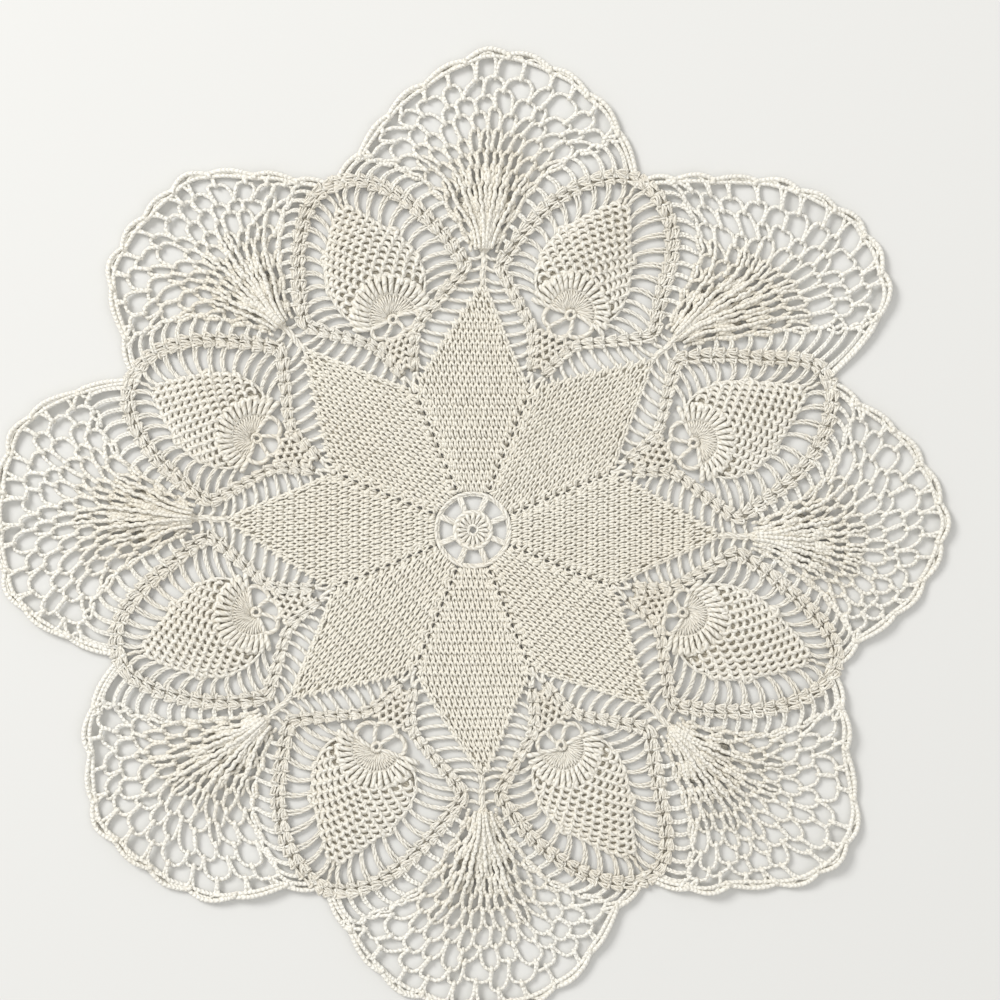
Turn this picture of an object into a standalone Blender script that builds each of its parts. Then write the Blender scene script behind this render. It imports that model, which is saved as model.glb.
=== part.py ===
"""A lace doily crocheted in the round from one cotton thread, lying flat: 53 cm across, with eight lobes.

The origin is the centre of the work, on the underside.  +Z is up and the first diamond points along +X.
Lengths are in millimetres and angles in degrees, counter-clockwise, until `cloth_object` turns them to metres.
The pattern is laid out for one lobe, across and outward from the centre, and `settled` bends it to how each
lobe really lies.
"""
import math
from collections import namedtuple

import bpy
from mathutils import Vector
from mathutils.geometry import delaunay_2d_cdt

MM = 0.001

# ---- Driving sizes ----
LOBES = 8
SECTOR = 360 / LOBES
CLOTH = 2.2            # thickness of the open work
DIAMOND_CLOTH = 2.6    # thickness of the close rows in the diamonds
CORD = 2.9             # thickness of the edging and of the knotted lines
THREAD = 1.3           # what a single chain leaves between two gaps
EDGING = 3.0           # width of the edging
PLEAT_HIGH = 4.4       # the gathered fan, over a fold
PLEAT_LOW = 2.4        # the gathered fan, between two folds
CROWN = 4.0            # the domed middle of a pineapple

RING_RADIUS = 10.0         # the ring that the work starts from
FIRST_ROUND_RADIUS = 20.5  # the round outside the eight centre gaps
CENTRE_GAP_WIDTH = 8.6
ROW = 6.3                  # one row of a diamond
DIAMOND_SHOULDER = 78.5    # where neighbouring diamonds part
DIAMOND_TIP = 137.0
DIAMOND_SLOPE = 0.53       # half the width lost over each unit of height
PINEAPPLE_BASE = 131.0     # radius of the small hole that a pineapple grows from
PINEAPPLE_TIP = 200.0
PINEAPPLE_HALF_WIDTH = 25.5
FAN_BASE = 155.5
NOTCH = 214.5              # radius of the notch between two lobes, before it settles

# ---- How each lobe lies ----
# fan_base and fan_edge turn the fan's root and its far end, pine_base and notch turn the foot and the tip of the
# pineapple that follows it.  reach is the radius at that notch.  r1 to r7 are the edge's radii at eighths of the
# way from the notch before to the notch after, and lift is how far the rim's waves stand off the table.
Lobe = namedtuple("Lobe", "fan_base fan_edge pine_base notch reach r1 r2 r3 r4 r5 r6 r7 lift")
LIE = (
    Lobe(-1.3, -3.5, -0.7, 0.5, 213.5, 225, 244, 256, 262, 256, 245, 228, 1.6),
    Lobe(-1.6, -7.8, 0.2, -2.8, 214.0, 258, 271, 273, 266, 256, 240, 227, 2.2),
    Lobe(-2.3, -2.0, -0.1, -0.5, 206.0, 239, 254, 263, 265, 254, 240, 221, 1.4),
    Lobe(-2.0, -3.4, -0.5, -1.5, 206.0, 220, 236, 251, 252, 252, 246, 224, 2.0),
    Lobe(-2.5, -3.0, -0.3, -2.8, 208.0, 237, 258, 263, 264, 263, 257, 236, 2.0),
    Lobe(-2.5, -5.4, -1.2, 0.0, 214.5, 236, 250, 264, 262, 258, 248, 226, 2.4),
    Lobe(2.0, 2.7, 0.4, 3.9, 215.5, 236, 255, 263, 265, 262, 249, 227, 1.6),
    Lobe(0.0, 0.0, 1.1, 1.5, 214.0, 235, 247, 265, 272, 266, 245, 230, 3.0),
)
SCALLOPS = 9           # small bumps along one lobe's edging
SCALLOP_DEPTH = 2.8
SCALLOP_NOTCH = 0.95   # how far the notches between the bumps lie inside the edge's radii
RIM_STEPS = 3 * SCALLOPS  # straight pieces in one lobe's outline
RIM_WAVES = 3          # lifted stretches along one lobe
RIM_WAVE_DEPTH = 38.0  # how far in from the edge the waves reach

# The foot of the pineapple after each lobe lies off its even place, farther out and counter-clockwise.
Foot = namedtuple("Foot", "out aside")
FOOT_LIES = (
    Foot(1.3, -0.5),
    Foot(0.7, -4.8),
    Foot(-5.6, -3.4),
    Foot(0.0, 0.0),
    Foot(-1.8, -3.2),
    Foot(1.4, -0.7),
    Foot(-1.3, -1.4),
    Foot(-5.4, -0.1),
)
FOOT_PULL_OUT = 48.0   # how far the foot pulls the cloth along with it: outward,
FOOT_PULL_IN = 24.0    # inward
FOOT_PULL_SIDE = 25.0  # and to each side, where a share of it is left
FOOT_PULL_LEFT = 0.4

# ---- The knotted line along one side of a fan, from the diamonds' parting out to the notch ----
# angle is from the lobe's axis; the other side mirrors it.
Knot = namedtuple("Knot", "angle radius")
KNOTTED_LINE = (
    Knot(20.3, 93.5),
    Knot(18.0, 107.5),
    Knot(15.6, 117.0),
    Knot(10.8, 126.5),
    Knot(6.9, 136.0),
    Knot(4.0, 146.0),
    Knot(5.6, 155.5),
    Knot(8.8, 171.0),
    Knot(11.9, 186.0),
    Knot(15.4, 200.5),
    Knot(19.0, 210.5),
    Knot(22.5, 214.5),
)
KNOT_HALF_WIDTH = 2.6
LINE_TURN = 5          # the place in KNOTTED_LINE nearest to the fan's root
NOTCH_PLACE = len(KNOTTED_LINE) - 1

# ---- The ladder beside each diamond: a gap for every row ----
LADDER_GAPS = 7
LADDER_TOP = 130.0     # height of the topmost gap, at the diamond
LADDER_WIDTH = 4.4
LADDER_PLACE = 3.6     # where the topmost gap meets the knotted line, counted in rows of its table
LADDER_STEP = 0.5      # and how much nearer to its start each lower gap meets it

# ---- Single gaps, as pointed slots from an inner to an outer end, in lengths beside and along the lobe's axis ----
Slot = namedtuple("Slot", "inner_x inner_y outer_x outer_y width")
SPINE_SLOTS = (
    Slot(1.6, 141.5, 9.5, 138.0, 5.2),
    Slot(1.6, 149.0, 8.2, 147.6, 4.4),
)
SLOT_POINT = 0.22      # share of a slot's length that each of its pointed ends takes
PARTING_INNER = 81.5   # the gap where two diamonds part runs outward between these radii
PARTING_OUTER = 91.0
PARTING_WIDTH = 5.6
PETAL_BEARINGS = (-54, 0, 54)  # the gaps round a pineapple's foot, from straight inward
PETAL_NEAR = 5.2
PETAL_FAR = 13.4
PETAL_WIDTH = 6.0
CENTRE_GAP_FOOT = 0.35     # a centre gap's width at the ring and at its crown, as shares of its widest
CENTRE_GAP_CROWN = 0.55
CENTRE_GAP_BELLY = 0.6     # how far out it is widest

# ---- The chain net of a fan ----
NET_COLUMNS = 14
NET_ROWS = 12
GATHERED = 0.46        # share of its even spacing that the net keeps in the gathered middle
GATHER_ENDS = 0.3      # how far out the gathers begin to let go
LOOSE_FROM = 0.9       # and where the loops are even
NET_ROW_GROWTH = 1.35  # rows near the edge are taller by this power,
NET_GROWTH_SHARE = 0.6 # of which this much is taken
NET_SIDE = 0.96        # share of the fan's width that the net fills, between the knotted lines
FAN_LINE_START = 0.6   # how far past LINE_TURN the net first hangs on the knotted lines
# One loop's gap: across from its left foot to its right one, and how far toward the next row, or the row before
Corner = namedtuple("Corner", "across toward")
LOOP = (
    Corner(0.04, 0.12),
    Corner(0.42, -0.55),
    Corner(0.58, -0.55),
    Corner(0.96, 0.12),
    Corner(0.74, 0.68),
    Corner(0.26, 0.68),
)
LOOP_MARGIN = 0.9      # half of the chain round a loop

# ---- How many gaps of each kind are cut, the largest first ----
CUT_PER_LOBE = {"ladder": 10, "spine": 2, "parting": 1, "petal": 3, "net": 20}
SMALLEST_GAP = 4.0
BREADTH_STEP = 10      # degrees between the directions in which a gap's breadth is taken

# ---- Raised and sunken places ----
RELIEF_SPACING = 2.0   # least distance between two of them
RELIEF_CLEAR = 0.5     # and from a gap
RELIEF_REACH = 9.0     # how far one shapes the gaps' edges round it
KNOT_RISE = 0.5        # the knotted line over the edging's thickness
PLEAT_ROWS = (0.10, 0.22, 0.34, 0.46, 0.58)  # how far out the gathers are shaped
PLEATS_EACH_SIDE = 4
PLEAT_STEP = 1 / 6     # from one fold to the next, as a share of half the even net
PLEAT_FADE_FROM = 0.35
PLEAT_FADE_TO = 0.75
Crown = namedtuple("Crown", "out rise")
PINEAPPLE_CROWN = (Crown(0.1, 0.7), Crown(0.3, 1.0), Crown(0.55, 0.9), Crown(0.8, 0.5))
CROWN_SIDES = (-0.8, 0.0, 0.8)
CROWN_FALL = 0.9       # how much of the crown is lost at a pineapple's side
FIRST_RAISED_ROW = 3   # rows of a diamond, by turns higher and lower
LAST_RAISED_ROW = 19
ROW_RISE = 0.25
ROW_SIDES = (-0.5, 0.5)
SHARP_ANGLE = 40       # edges sharper than this are shaded as edges


def mix(a, b, share):
    return a + (b - a) * share


def ease(value, low, high):
    """0 below low, 1 above high, and a smooth step between."""
    share = min(1.0, max(0.0, (value - low) / (high - low)))
    return share * share * (3 - 2 * share)


def through(stations, place):
    """A smooth curve through evenly spaced stations, read at a place counted in stations."""
    last = len(stations) - 1
    index = min(int(place), last - 1)
    share = place - index
    here = stations[index]
    after = stations[index + 1]
    before = stations[index - 1] if index > 0 else here * 2 - after
    beyond = stations[index + 2] if index + 2 <= last else after * 2 - here
    slope_in = (after - before) * 0.5
    slope_out = (beyond - here) * 0.5
    return (
        here * (2 * share**3 - 3 * share**2 + 1)
        + slope_in * (share**3 - 2 * share**2 + share)
        + after * (3 * share**2 - 2 * share**3)
        + slope_out * (share**3 - share**2)
    )


def direction(angle):
    return Vector((math.cos(math.radians(angle)), math.sin(math.radians(angle))))


# ---- How the cloth lies ----

def notch_angle(lobe):
    """Where the notch after a lobe is; lobe -1 gives the notch before lobe 0."""
    return (lobe + 0.5) * SECTOR + LIE[lobe % LOBES].notch


def edge_radius(lobe, across):
    """The outline's radius at across, which runs from -1 at the notch before to 1 at the notch after."""
    lie = LIE[lobe]
    stations = (LIE[lobe - 1].reach, lie.r1, lie.r2, lie.r3, lie.r4, lie.r5, lie.r6, lie.r7, lie.reach)
    radius = through(stations, (across + 1) * 4)
    return radius - SCALLOP_NOTCH + SCALLOP_DEPTH * abs(math.sin(math.pi * SCALLOPS * (across + 1) / 2))


def edge_angle(lobe, across):
    return mix(notch_angle(lobe - 1), notch_angle(lobe), (across + 1) / 2)


def settled(lobe, angle, radius):
    """The real place of a point of the even pattern, given from the lobe's axis (angle within half a sector)."""
    side = LIE[lobe] if angle >= 0 else LIE[lobe - 1]
    toward_notch = abs(angle) * 2 / SECTOR
    outward = ease(radius, FAN_BASE, NOTCH)
    inward = ease(radius, DIAMOND_SHOULDER * 0.7, PINEAPPLE_BASE)
    fan_turn = mix(LIE[lobe].fan_base * inward, LIE[lobe].fan_edge, outward)
    pine_turn = mix(side.pine_base * inward, side.notch, outward)
    turn = mix(fan_turn, pine_turn, ease(toward_notch, 0, 1))
    stretch = 1 + (side.reach / NOTCH - 1) * ease(radius, PINEAPPLE_BASE, NOTCH) * toward_notch
    return direction(lobe * SECTOR + angle + turn) * radius * stretch


def laid(lobe, x, y):
    """The same, from lengths along and beside the lobe's axis: x is counter-clockwise of it, y outward."""
    return settled(lobe, math.degrees(math.atan2(x, y)), math.hypot(x, y))


def pine_at(lobe, x, y):
    """A point of the pineapple after a lobe: x counter-clockwise of its axis, y outward from its foot."""
    pull = (1 - ease(y, 0, FOOT_PULL_OUT)) * (1 - ease(-y, 0, FOOT_PULL_IN))
    pull *= mix(1, FOOT_PULL_LEFT, ease(abs(x), FOOT_PULL_SIDE / 2, FOOT_PULL_SIDE))
    x += FOOT_LIES[lobe].aside * pull
    y += FOOT_LIES[lobe].out * pull
    angle = math.degrees(math.atan2(x, PINEAPPLE_BASE + y))
    radius = math.hypot(x, PINEAPPLE_BASE + y)
    if angle <= 0:
        return settled(lobe, SECTOR / 2 + angle, radius)
    return settled((lobe + 1) % LOBES, angle - SECTOR / 2, radius)


def knot_point(lobe, side, place):
    """A point on a knotted line, at a place counted in the rows of its table."""
    angle = through([knot.angle for knot in KNOTTED_LINE], place)
    radius = through([knot.radius for knot in KNOTTED_LINE], place)
    return settled(lobe, side * angle, radius)


def fan_point(lobe, across, out):
    """A point of a fan: across from -1 to 1 between its knotted lines, out from 0 at its root to 1 at the edge."""
    place = mix(LINE_TURN + FAN_LINE_START, NOTCH_PLACE, out)
    left = knot_point(lobe, -1, place)
    right = knot_point(lobe, 1, place)
    axis = lobe * SECTOR + mix(LIE[lobe].fan_base, LIE[lobe].fan_edge, ease(out, 0, 0.8))
    span = notch_angle(lobe) - notch_angle(lobe - 1)
    edge_across = 2 * (axis - notch_angle(lobe - 1)) / span - 1
    middle = direction(axis) * mix(FAN_BASE, edge_radius(lobe, edge_across) - EDGING, out)

    def row(left, middle, right):
        return left * (across**2 - across) / 2 + middle * (1 - across**2) + right * (across**2 + across) / 2

    rim = direction(edge_angle(lobe, across)) * (edge_radius(lobe, across) - EDGING)
    rim_left = direction(notch_angle(lobe - 1)) * (LIE[lobe - 1].reach - EDGING)
    rim_right = direction(notch_angle(lobe)) * (LIE[lobe].reach - EDGING)
    rim_middle = direction(axis) * (edge_radius(lobe, edge_across) - EDGING)
    return row(left, middle, right) + (rim - row(rim_left, rim_middle, rim_right)) * out**2


def spread(across, out):
    """Moves an even place across the net to its real one: gathered in the middle, loose at the sides and edge."""
    even = mix(GATHERED, 1, ease(out, GATHER_ENDS, LOOSE_FROM))
    return even * across + (1 - even) * across * abs(across) ** 3


def lift(lobe, point):
    """How far the rim's waves raise the cloth at a point."""
    angle = math.degrees(math.atan2(point.y, point.x))
    start = notch_angle(lobe - 1)
    across = 2 * ((angle - start) % 360) / (notch_angle(lobe) - start) - 1
    if abs(across) > 1:
        return 0.0
    inside = edge_radius(lobe, across) - point.length
    wave = 0.5 - 0.5 * math.cos(math.pi * RIM_WAVES * (across + 1))
    return LIE[lobe].lift * wave * (1 - ease(inside, 0, RIM_WAVE_DEPTH))


# ---- Gaps: each is a ring of points ----

def slot(start, end, width):
    """A long six-sided gap with pointed ends."""
    along = end - start
    beside = Vector((-along.y, along.x)).normalized() * (width / 2)
    near = start + along * SLOT_POINT
    far = end - along * SLOT_POINT
    return [start, near - beside, far - beside, end, far + beside, near + beside]


def diamond_half_width(y):
    return max(0.0, DIAMOND_SLOPE * (DIAMOND_TIP - y))


def centre_gaps():
    """The eight gaps round the starting ring."""
    gaps = []
    half = CENTRE_GAP_WIDTH / 2
    inner = RING_RADIUS + THREAD / 2
    outer = FIRST_ROUND_RADIUS - THREAD / 2
    belly = mix(inner, outer, CENTRE_GAP_BELLY)
    right = ((half * CENTRE_GAP_FOOT, inner), (half, belly), (half * CENTRE_GAP_CROWN, outer))
    left = [(-x, y) for x, y in reversed(right)]
    for lobe in range(LOBES):
        gaps.append([laid(lobe, x, y) for x, y in (*right, *left)])
    return gaps


def parting_gaps(lobe):
    """The rounded gap where two diamonds part, on the line between this lobe and the next."""
    inner = settled(lobe, SECTOR / 2, PARTING_INNER)
    outer = settled(lobe, SECTOR / 2, PARTING_OUTER)
    return [slot(inner, outer, PARTING_WIDTH)]


def ladder_gaps(lobe):
    gaps = []
    for number in range(LADDER_GAPS):
        for side in (-1, 1):
            y = LADDER_TOP - number * ROW
            inner = laid(lobe, side * (diamond_half_width(y) + THREAD), y)
            outer = knot_point(lobe, side, LADDER_PLACE - number * LADDER_STEP)
            share = 1 - KNOT_HALF_WIDTH / (outer - inner).length
            gaps.append(slot(inner, mix(inner, outer, share), LADDER_WIDTH))
    return gaps


def spine_gaps(lobe):
    """The gaps on both sides of the post between a diamond's tip and its fan."""
    gaps = []
    for side in (-1, 1):
        for place in SPINE_SLOTS:
            inner = laid(lobe, side * place.inner_x, place.inner_y)
            outer = laid(lobe, side * place.outer_x, place.outer_y)
            gaps.append(slot(inner, outer, place.width))
    return gaps


def petal_gaps(lobe):
    """The short gaps below a pineapple, spread round its foot."""
    gaps = []
    for bearing in PETAL_BEARINGS:
        turn = math.radians(bearing)
        near, far = (
            pine_at(lobe, reach * math.sin(turn), -reach * math.cos(turn)) for reach in (PETAL_NEAR, PETAL_FAR)
        )
        gaps.append(slot(near, far, PETAL_WIDTH))
    return gaps


def net_row_out(row):
    """How far out a row of the net lies; the rows grow taller toward the edge."""
    share = row / NET_ROWS
    return mix(share, share**NET_ROW_GROWTH, NET_GROWTH_SHARE)


def net_gaps(lobe):
    """The chain loops: each hangs from the tops of two loops in the row before."""
    gaps = []
    for row in range(1, NET_ROWS):
        before, here, after = (net_row_out(row + step) for step in (-1, 0, 1))
        shift = 0.5 * (row % 2)
        for column in range(NET_COLUMNS + row % 2):
            start = 2 * (column - shift) / NET_COLUMNS - 1
            end = start + 2 / NET_COLUMNS
            if start < -1 or end > 1:
                continue
            ring = []
            for corner in LOOP:
                out = mix(here, after if corner.toward > 0 else before, abs(corner.toward))
                across = spread(mix(start, end, corner.across), out)
                ring.append(fan_point(lobe, NET_SIDE * across, out))
            gaps.append(narrowed(ring, LOOP_MARGIN))
    return gaps


def narrowed(points, margin):
    """The same ring, drawn in toward its middle by a margin."""
    middle = sum(points, Vector((0, 0))) / len(points)
    drawn = []
    for point in points:
        arm = point - middle
        drawn.append(middle + arm * max(0.0, 1 - margin / max(arm.length, margin)))
    return drawn


def area(ring):
    """A ring's area, above 0 where it runs counter-clockwise."""
    total = 0.0
    for here, after in zip(ring, ring[1:] + ring[:1]):
        total += here.x * after.y - here.y * after.x
    return total / 2


def breadth(ring):
    """The least width of a ring over all directions."""
    widths = []
    for angle in range(0, 180, BREADTH_STEP):
        way = direction(angle)
        reach = [point.dot(way) for point in ring]
        widths.append(max(reach) - min(reach))
    return min(widths)


def largest(gaps, count):
    wide = [gap for gap in gaps if breadth(gap) >= SMALLEST_GAP]
    return sorted(wide, key=lambda gap: -abs(area(gap)))[:count]


def all_gaps(lobe):
    kinds = {
        "ladder": ladder_gaps(lobe),
        "spine": spine_gaps(lobe),
        "parting": parting_gaps(lobe),
        "petal": petal_gaps(lobe),
        "net": net_gaps(lobe),
    }
    return [gap for kind, count in CUT_PER_LOBE.items() for gap in largest(kinds[kind], count)]


# ---- Heights of the upper side ----

def pleat_places(lobe):
    """The folds of a gathered fan, which fade into the plain net."""
    places = []
    for out in PLEAT_ROWS:
        fade = ease(out, PLEAT_FADE_FROM, PLEAT_FADE_TO)
        for fold in range(-PLEATS_EACH_SIDE, PLEATS_EACH_SIDE + 1):
            height = PLEAT_LOW if fold % 2 else PLEAT_HIGH
            point = fan_point(lobe, spread(fold * PLEAT_STEP, out), out)
            places.append((point, mix(height, CLOTH, fade)))
    return places


def crown_places(lobe):
    """The domed middle of the pineapple after a lobe."""
    places = []
    for crown in PINEAPPLE_CROWN:
        width = PINEAPPLE_HALF_WIDTH * math.sin(math.pi * (1 - 0.75 * crown.out))
        for across in CROWN_SIDES:
            height = mix(CLOTH, CROWN, crown.rise * (1 - CROWN_FALL * across**2))
            y = crown.out * (PINEAPPLE_TIP - PINEAPPLE_BASE)
            places.append((pine_at(lobe, across * width, y), height))
    return places


def row_places(lobe):
    """The rows of a diamond."""
    places = []
    for row in range(FIRST_RAISED_ROW, LAST_RAISED_ROW + 1):
        y = (row + 0.5) * ROW
        half = min(diamond_half_width(y), y * math.tan(math.radians(SECTOR / 2)))
        for across in ROW_SIDES:
            places.append((laid(lobe, across * half, y), DIAMOND_CLOTH + ROW_RISE * (row % 2)))
    return places


def relief_places(lobe):
    """Raised and sunken places of the upper side, as (point, height) pairs."""
    knots = []
    for side in (-1, 1):
        for step in range(2 * NOTCH_PLACE):
            knots.append((knot_point(lobe, side, step / 2), CORD + KNOT_RISE))
    edge = [(point, CLOTH) for point in rim_points(lobe, EDGING)]
    return knots + pleat_places(lobe) + crown_places(lobe) + row_places(lobe) + edge


def rim_points(lobe, inset):
    """One lobe's outline, from the notch before it up to the next one, drawn in by an inset."""
    points = []
    for step in range(RIM_STEPS):
        across = 2 * step / RIM_STEPS - 1
        points.append(direction(edge_angle(lobe, across)) * (edge_radius(lobe, across) - inset))
    return points


# ---- The solid ----

def inside(ring, point):
    """Whether a point is inside a ring, by counting the sides that a ray from it crosses."""
    crossings = 0
    for here, after in zip(ring, ring[1:] + ring[:1]):
        if (here.y > point.y) != (after.y > point.y):
            meet = here.x + (point.y - here.y) * (after.x - here.x) / (after.y - here.y)
            crossings += meet > point.x
    return crossings % 2 == 1


def clear_of(rings, point, margin):
    """Whether a point keeps a margin from every ring's middle line and isn't inside one."""
    for middle, radius, ring in rings:
        if (point - middle).length > radius + margin:
            continue
        if inside(ring, point):
            return False
        for here, after in zip(ring, ring[1:] + ring[:1]):
            along = after - here
            share = min(1.0, max(0.0, (point - here).dot(along) / along.length_squared))
            if (here + along * share - point).length < margin:
                return False
    return True


def rounds(rings):
    """Each ring with its middle and its reach, for quick tests."""
    result = []
    for ring in rings:
        middle = sum(ring, Vector((0, 0))) / len(ring)
        result.append((middle, max((point - middle).length for point in ring), ring))
    return result


def height_near(places, point):
    """The height at a point, from the raised places within reach; the plain cloth elsewhere."""
    total = 0.0
    weight = 0.0
    for place, height in places:
        distance = (place - point).length
        if distance < RELIEF_REACH:
            share = (1 - distance / RELIEF_REACH) ** 2
            total += share * height
            weight += share
    if weight == 0:
        return CLOTH
    return mix(CLOTH, total / weight, min(1.0, weight * 3))


def sheet(rings, extra):
    """Triangles between the outline, which is the first ring, and the gaps, through the extra points."""
    points = [point for ring in rings for point in ring] + extra
    edges = []
    owners = []
    for number, ring in enumerate(rings):
        start = len(owners)
        count = len(ring)
        edges += [(start + index, start + (index + 1) % count) for index in range(count)]
        owners += [number] * count
    owners += [None] * len(extra)
    all_triangles = 0
    places, _, faces, origins, _, _ = delaunay_2d_cdt(points, edges, [], all_triangles, 1e-6, True)
    if len(places) != len(points):
        raise ValueError("two rings of the cloth cross")
    triangles = []
    for face in faces:
        corners = [origins[corner][0] for corner in face]
        rings_met = {owners[corner] for corner in corners}
        middle = sum((points[corner] for corner in corners), Vector((0, 0))) / 3
        if len(rings_met) > 1 or rings_met == {None}:
            triangles.append(corners)
        elif rings_met == {0} and inside(rings[0], middle):
            triangles.append(corners)
    return triangles


def raised_places(outline, gaps):
    """The raised places that keep their distance from each other, from every gap and from the outline."""
    near = rounds(gaps)
    kept = []
    for lobe in range(LOBES):
        for point, height in relief_places(lobe):
            crowded = any((point - other).length < RELIEF_SPACING for other, _ in kept)
            if not crowded and inside(outline, point) and clear_of(near, point, RELIEF_CLEAR):
                kept.append((point, height))
    return kept


def lobe_lift(point):
    return max(lift(lobe, point) for lobe in range(LOBES))


def walls(rings, under):
    """The sides of the outline, which is the first ring, and of the gaps; under is how many points lie above."""
    faces = []
    start = 0
    for number, ring in enumerate(rings):
        count = len(ring)
        faces_right = (area(ring) > 0) == (number == 0)
        for index in range(count):
            here = start + index
            after = start + (index + 1) % count
            wall = [(under + here, under + after, after), (under + here, after, here)]
            faces += wall if faces_right else [tuple(reversed(face)) for face in wall]
        start += count
    return faces


def cloth_object(name, material):
    outline = [point for lobe in range(LOBES) for point in rim_points(lobe, 0)]
    gaps = centre_gaps() + [gap for lobe in range(LOBES) for gap in all_gaps(lobe)]
    rings = [outline] + gaps
    ring_points = [point for ring in rings for point in ring]
    raised = raised_places(outline, gaps)
    shaping = [place for lobe in range(LOBES) for place in relief_places(lobe)]

    heights = [CORD] * len(outline)
    heights += [height_near(shaping, point) for point in ring_points[len(outline):]]
    heights += [height for _, height in raised]
    top_points = ring_points + [point for point, _ in raised]
    vertices = []
    for point, height in zip(top_points, heights):
        vertices.append((point.x * MM, point.y * MM, (height + lobe_lift(point)) * MM))
    under = len(vertices)
    for point in ring_points:
        vertices.append((point.x * MM, point.y * MM, lobe_lift(point) * MM))

    faces = [tuple(face) for face in sheet(rings, [point for point, _ in raised])]
    faces += [tuple(under + corner for corner in reversed(face)) for face in sheet(rings, [])]
    faces += walls(rings, under)

    mesh = bpy.data.meshes.new(name)
    mesh.from_pydata(vertices, [], faces)
    mesh.validate()
    mesh.materials.append(material)
    mesh.shade_smooth()
    mesh.set_sharp_from_angle(angle=math.radians(SHARP_ANGLE))
    cloth = bpy.data.objects.new(name, mesh)
    bpy.context.scene.collection.objects.link(cloth)
    return cloth


def cotton(name):
    """Cream mercerised cotton thread."""
    material = bpy.data.materials.new(name)
    material.use_nodes = True
    shader = material.node_tree.nodes["Principled BSDF"]
    shader.inputs["Base Color"].default_value = (0.82, 0.77, 0.67, 1.0)
    shader.inputs["Roughness"].default_value = 0.88
    shader.inputs["Metallic"].default_value = 0.0
    return material


for old in list(bpy.data.objects):
    bpy.data.objects.remove(old)

cloth_object("doily", cotton("cream cotton"))
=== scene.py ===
"""The looks of the lace doily: each stitch of the crochet is a strand of cotton, laid on the frame's cloth.

Lengths are in millimetres and angles in degrees, counter-clockwise from +X. Work.piece makes metres of
them; the floor and the lights are given in metres. The pattern is laid out for one lobe, and settled()
bends it to how each lobe really lies.
Within a lobe x runs counter-clockwise of its axis and y outward from the doily's middle. Within a fan,
across runs from -1 to 1 between its sides, and out from 0 at its foot to 1 at its rim.
"""
import math
from collections import namedtuple

import bpy
import numpy as np
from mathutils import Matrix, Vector


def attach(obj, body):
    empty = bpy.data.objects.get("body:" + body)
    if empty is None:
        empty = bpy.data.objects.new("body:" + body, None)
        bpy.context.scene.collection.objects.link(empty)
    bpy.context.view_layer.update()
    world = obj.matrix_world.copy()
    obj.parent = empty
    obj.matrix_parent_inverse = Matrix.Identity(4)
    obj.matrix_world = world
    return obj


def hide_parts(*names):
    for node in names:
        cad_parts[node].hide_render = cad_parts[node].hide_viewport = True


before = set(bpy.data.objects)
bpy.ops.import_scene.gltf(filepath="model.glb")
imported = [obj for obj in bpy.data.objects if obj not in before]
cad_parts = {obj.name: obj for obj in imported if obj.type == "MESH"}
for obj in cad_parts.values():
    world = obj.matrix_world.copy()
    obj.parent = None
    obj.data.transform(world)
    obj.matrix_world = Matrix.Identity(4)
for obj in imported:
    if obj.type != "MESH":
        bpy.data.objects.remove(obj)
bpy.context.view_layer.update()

MM = 0.001
rng = np.random.default_rng(41)

# ---- The layout, as in the frame ----
LOBES = 8
SECTOR = 360 / LOBES
HALF_SECTOR = SECTOR / 2
RING_RADIUS = 10.0
FIRST_ROUND_RADIUS = 20.5
ROW = 6.3                  # from one rung of a ladder to the next
DIAMOND_SHOULDER = 78.5
DIAMOND_TIP = 137.0
DIAMOND_SLOPE = 0.53       # how fast a diamond narrows to its tip
PINEAPPLE_BASE = 131.0
FAN_BASE = 155.5
NOTCH = 214.5
SCALLOPS = 9
SCALLOP_DEPTH = 2.8
SCALLOP_NOTCH = 0.95
RIM_WAVES = 3
RIM_WAVE_DEPTH = 38.0
EDGING = 3.0
STAR_HOLDS = DIAMOND_SHOULDER * 0.7     # up to this radius the lobes lie as in the pattern

# How a lobe lies: the turn of its fan's foot and edge, of the pineapple and the notch after it, that notch's
# radius, the edge's radius at seven places between two notches, and the height of the edge's waves.
Lobe = namedtuple("Lobe", "fan_base fan_edge pine_base notch reach r1 r2 r3 r4 r5 r6 r7 lift")
LIE = (
    Lobe(-1.3, -3.5, -0.7, 0.5, 213.5, 225, 244, 256, 262, 256, 245, 228, 1.6),
    Lobe(-1.6, -7.8, 0.2, -2.8, 214.0, 258, 271, 273, 266, 256, 240, 227, 2.2),
    Lobe(-2.3, -2.0, -0.1, -0.5, 206.0, 239, 254, 263, 265, 254, 240, 221, 1.4),
    Lobe(-2.0, -3.4, -0.5, -1.5, 206.0, 220, 236, 251, 252, 252, 246, 224, 2.0),
    Lobe(-2.5, -3.0, -0.3, -2.8, 208.0, 237, 258, 263, 264, 263, 257, 236, 2.0),
    Lobe(-2.5, -5.4, -1.2, 0.0, 214.5, 236, 250, 264, 262, 258, 248, 226, 2.4),
    Lobe(2.0, 2.7, 0.4, 3.9, 215.5, 236, 255, 263, 265, 262, 249, 227, 1.6),
    Lobe(0.0, 0.0, 1.1, 1.5, 214.0, 235, 247, 265, 272, 266, 245, 230, 3.0),
)

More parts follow.
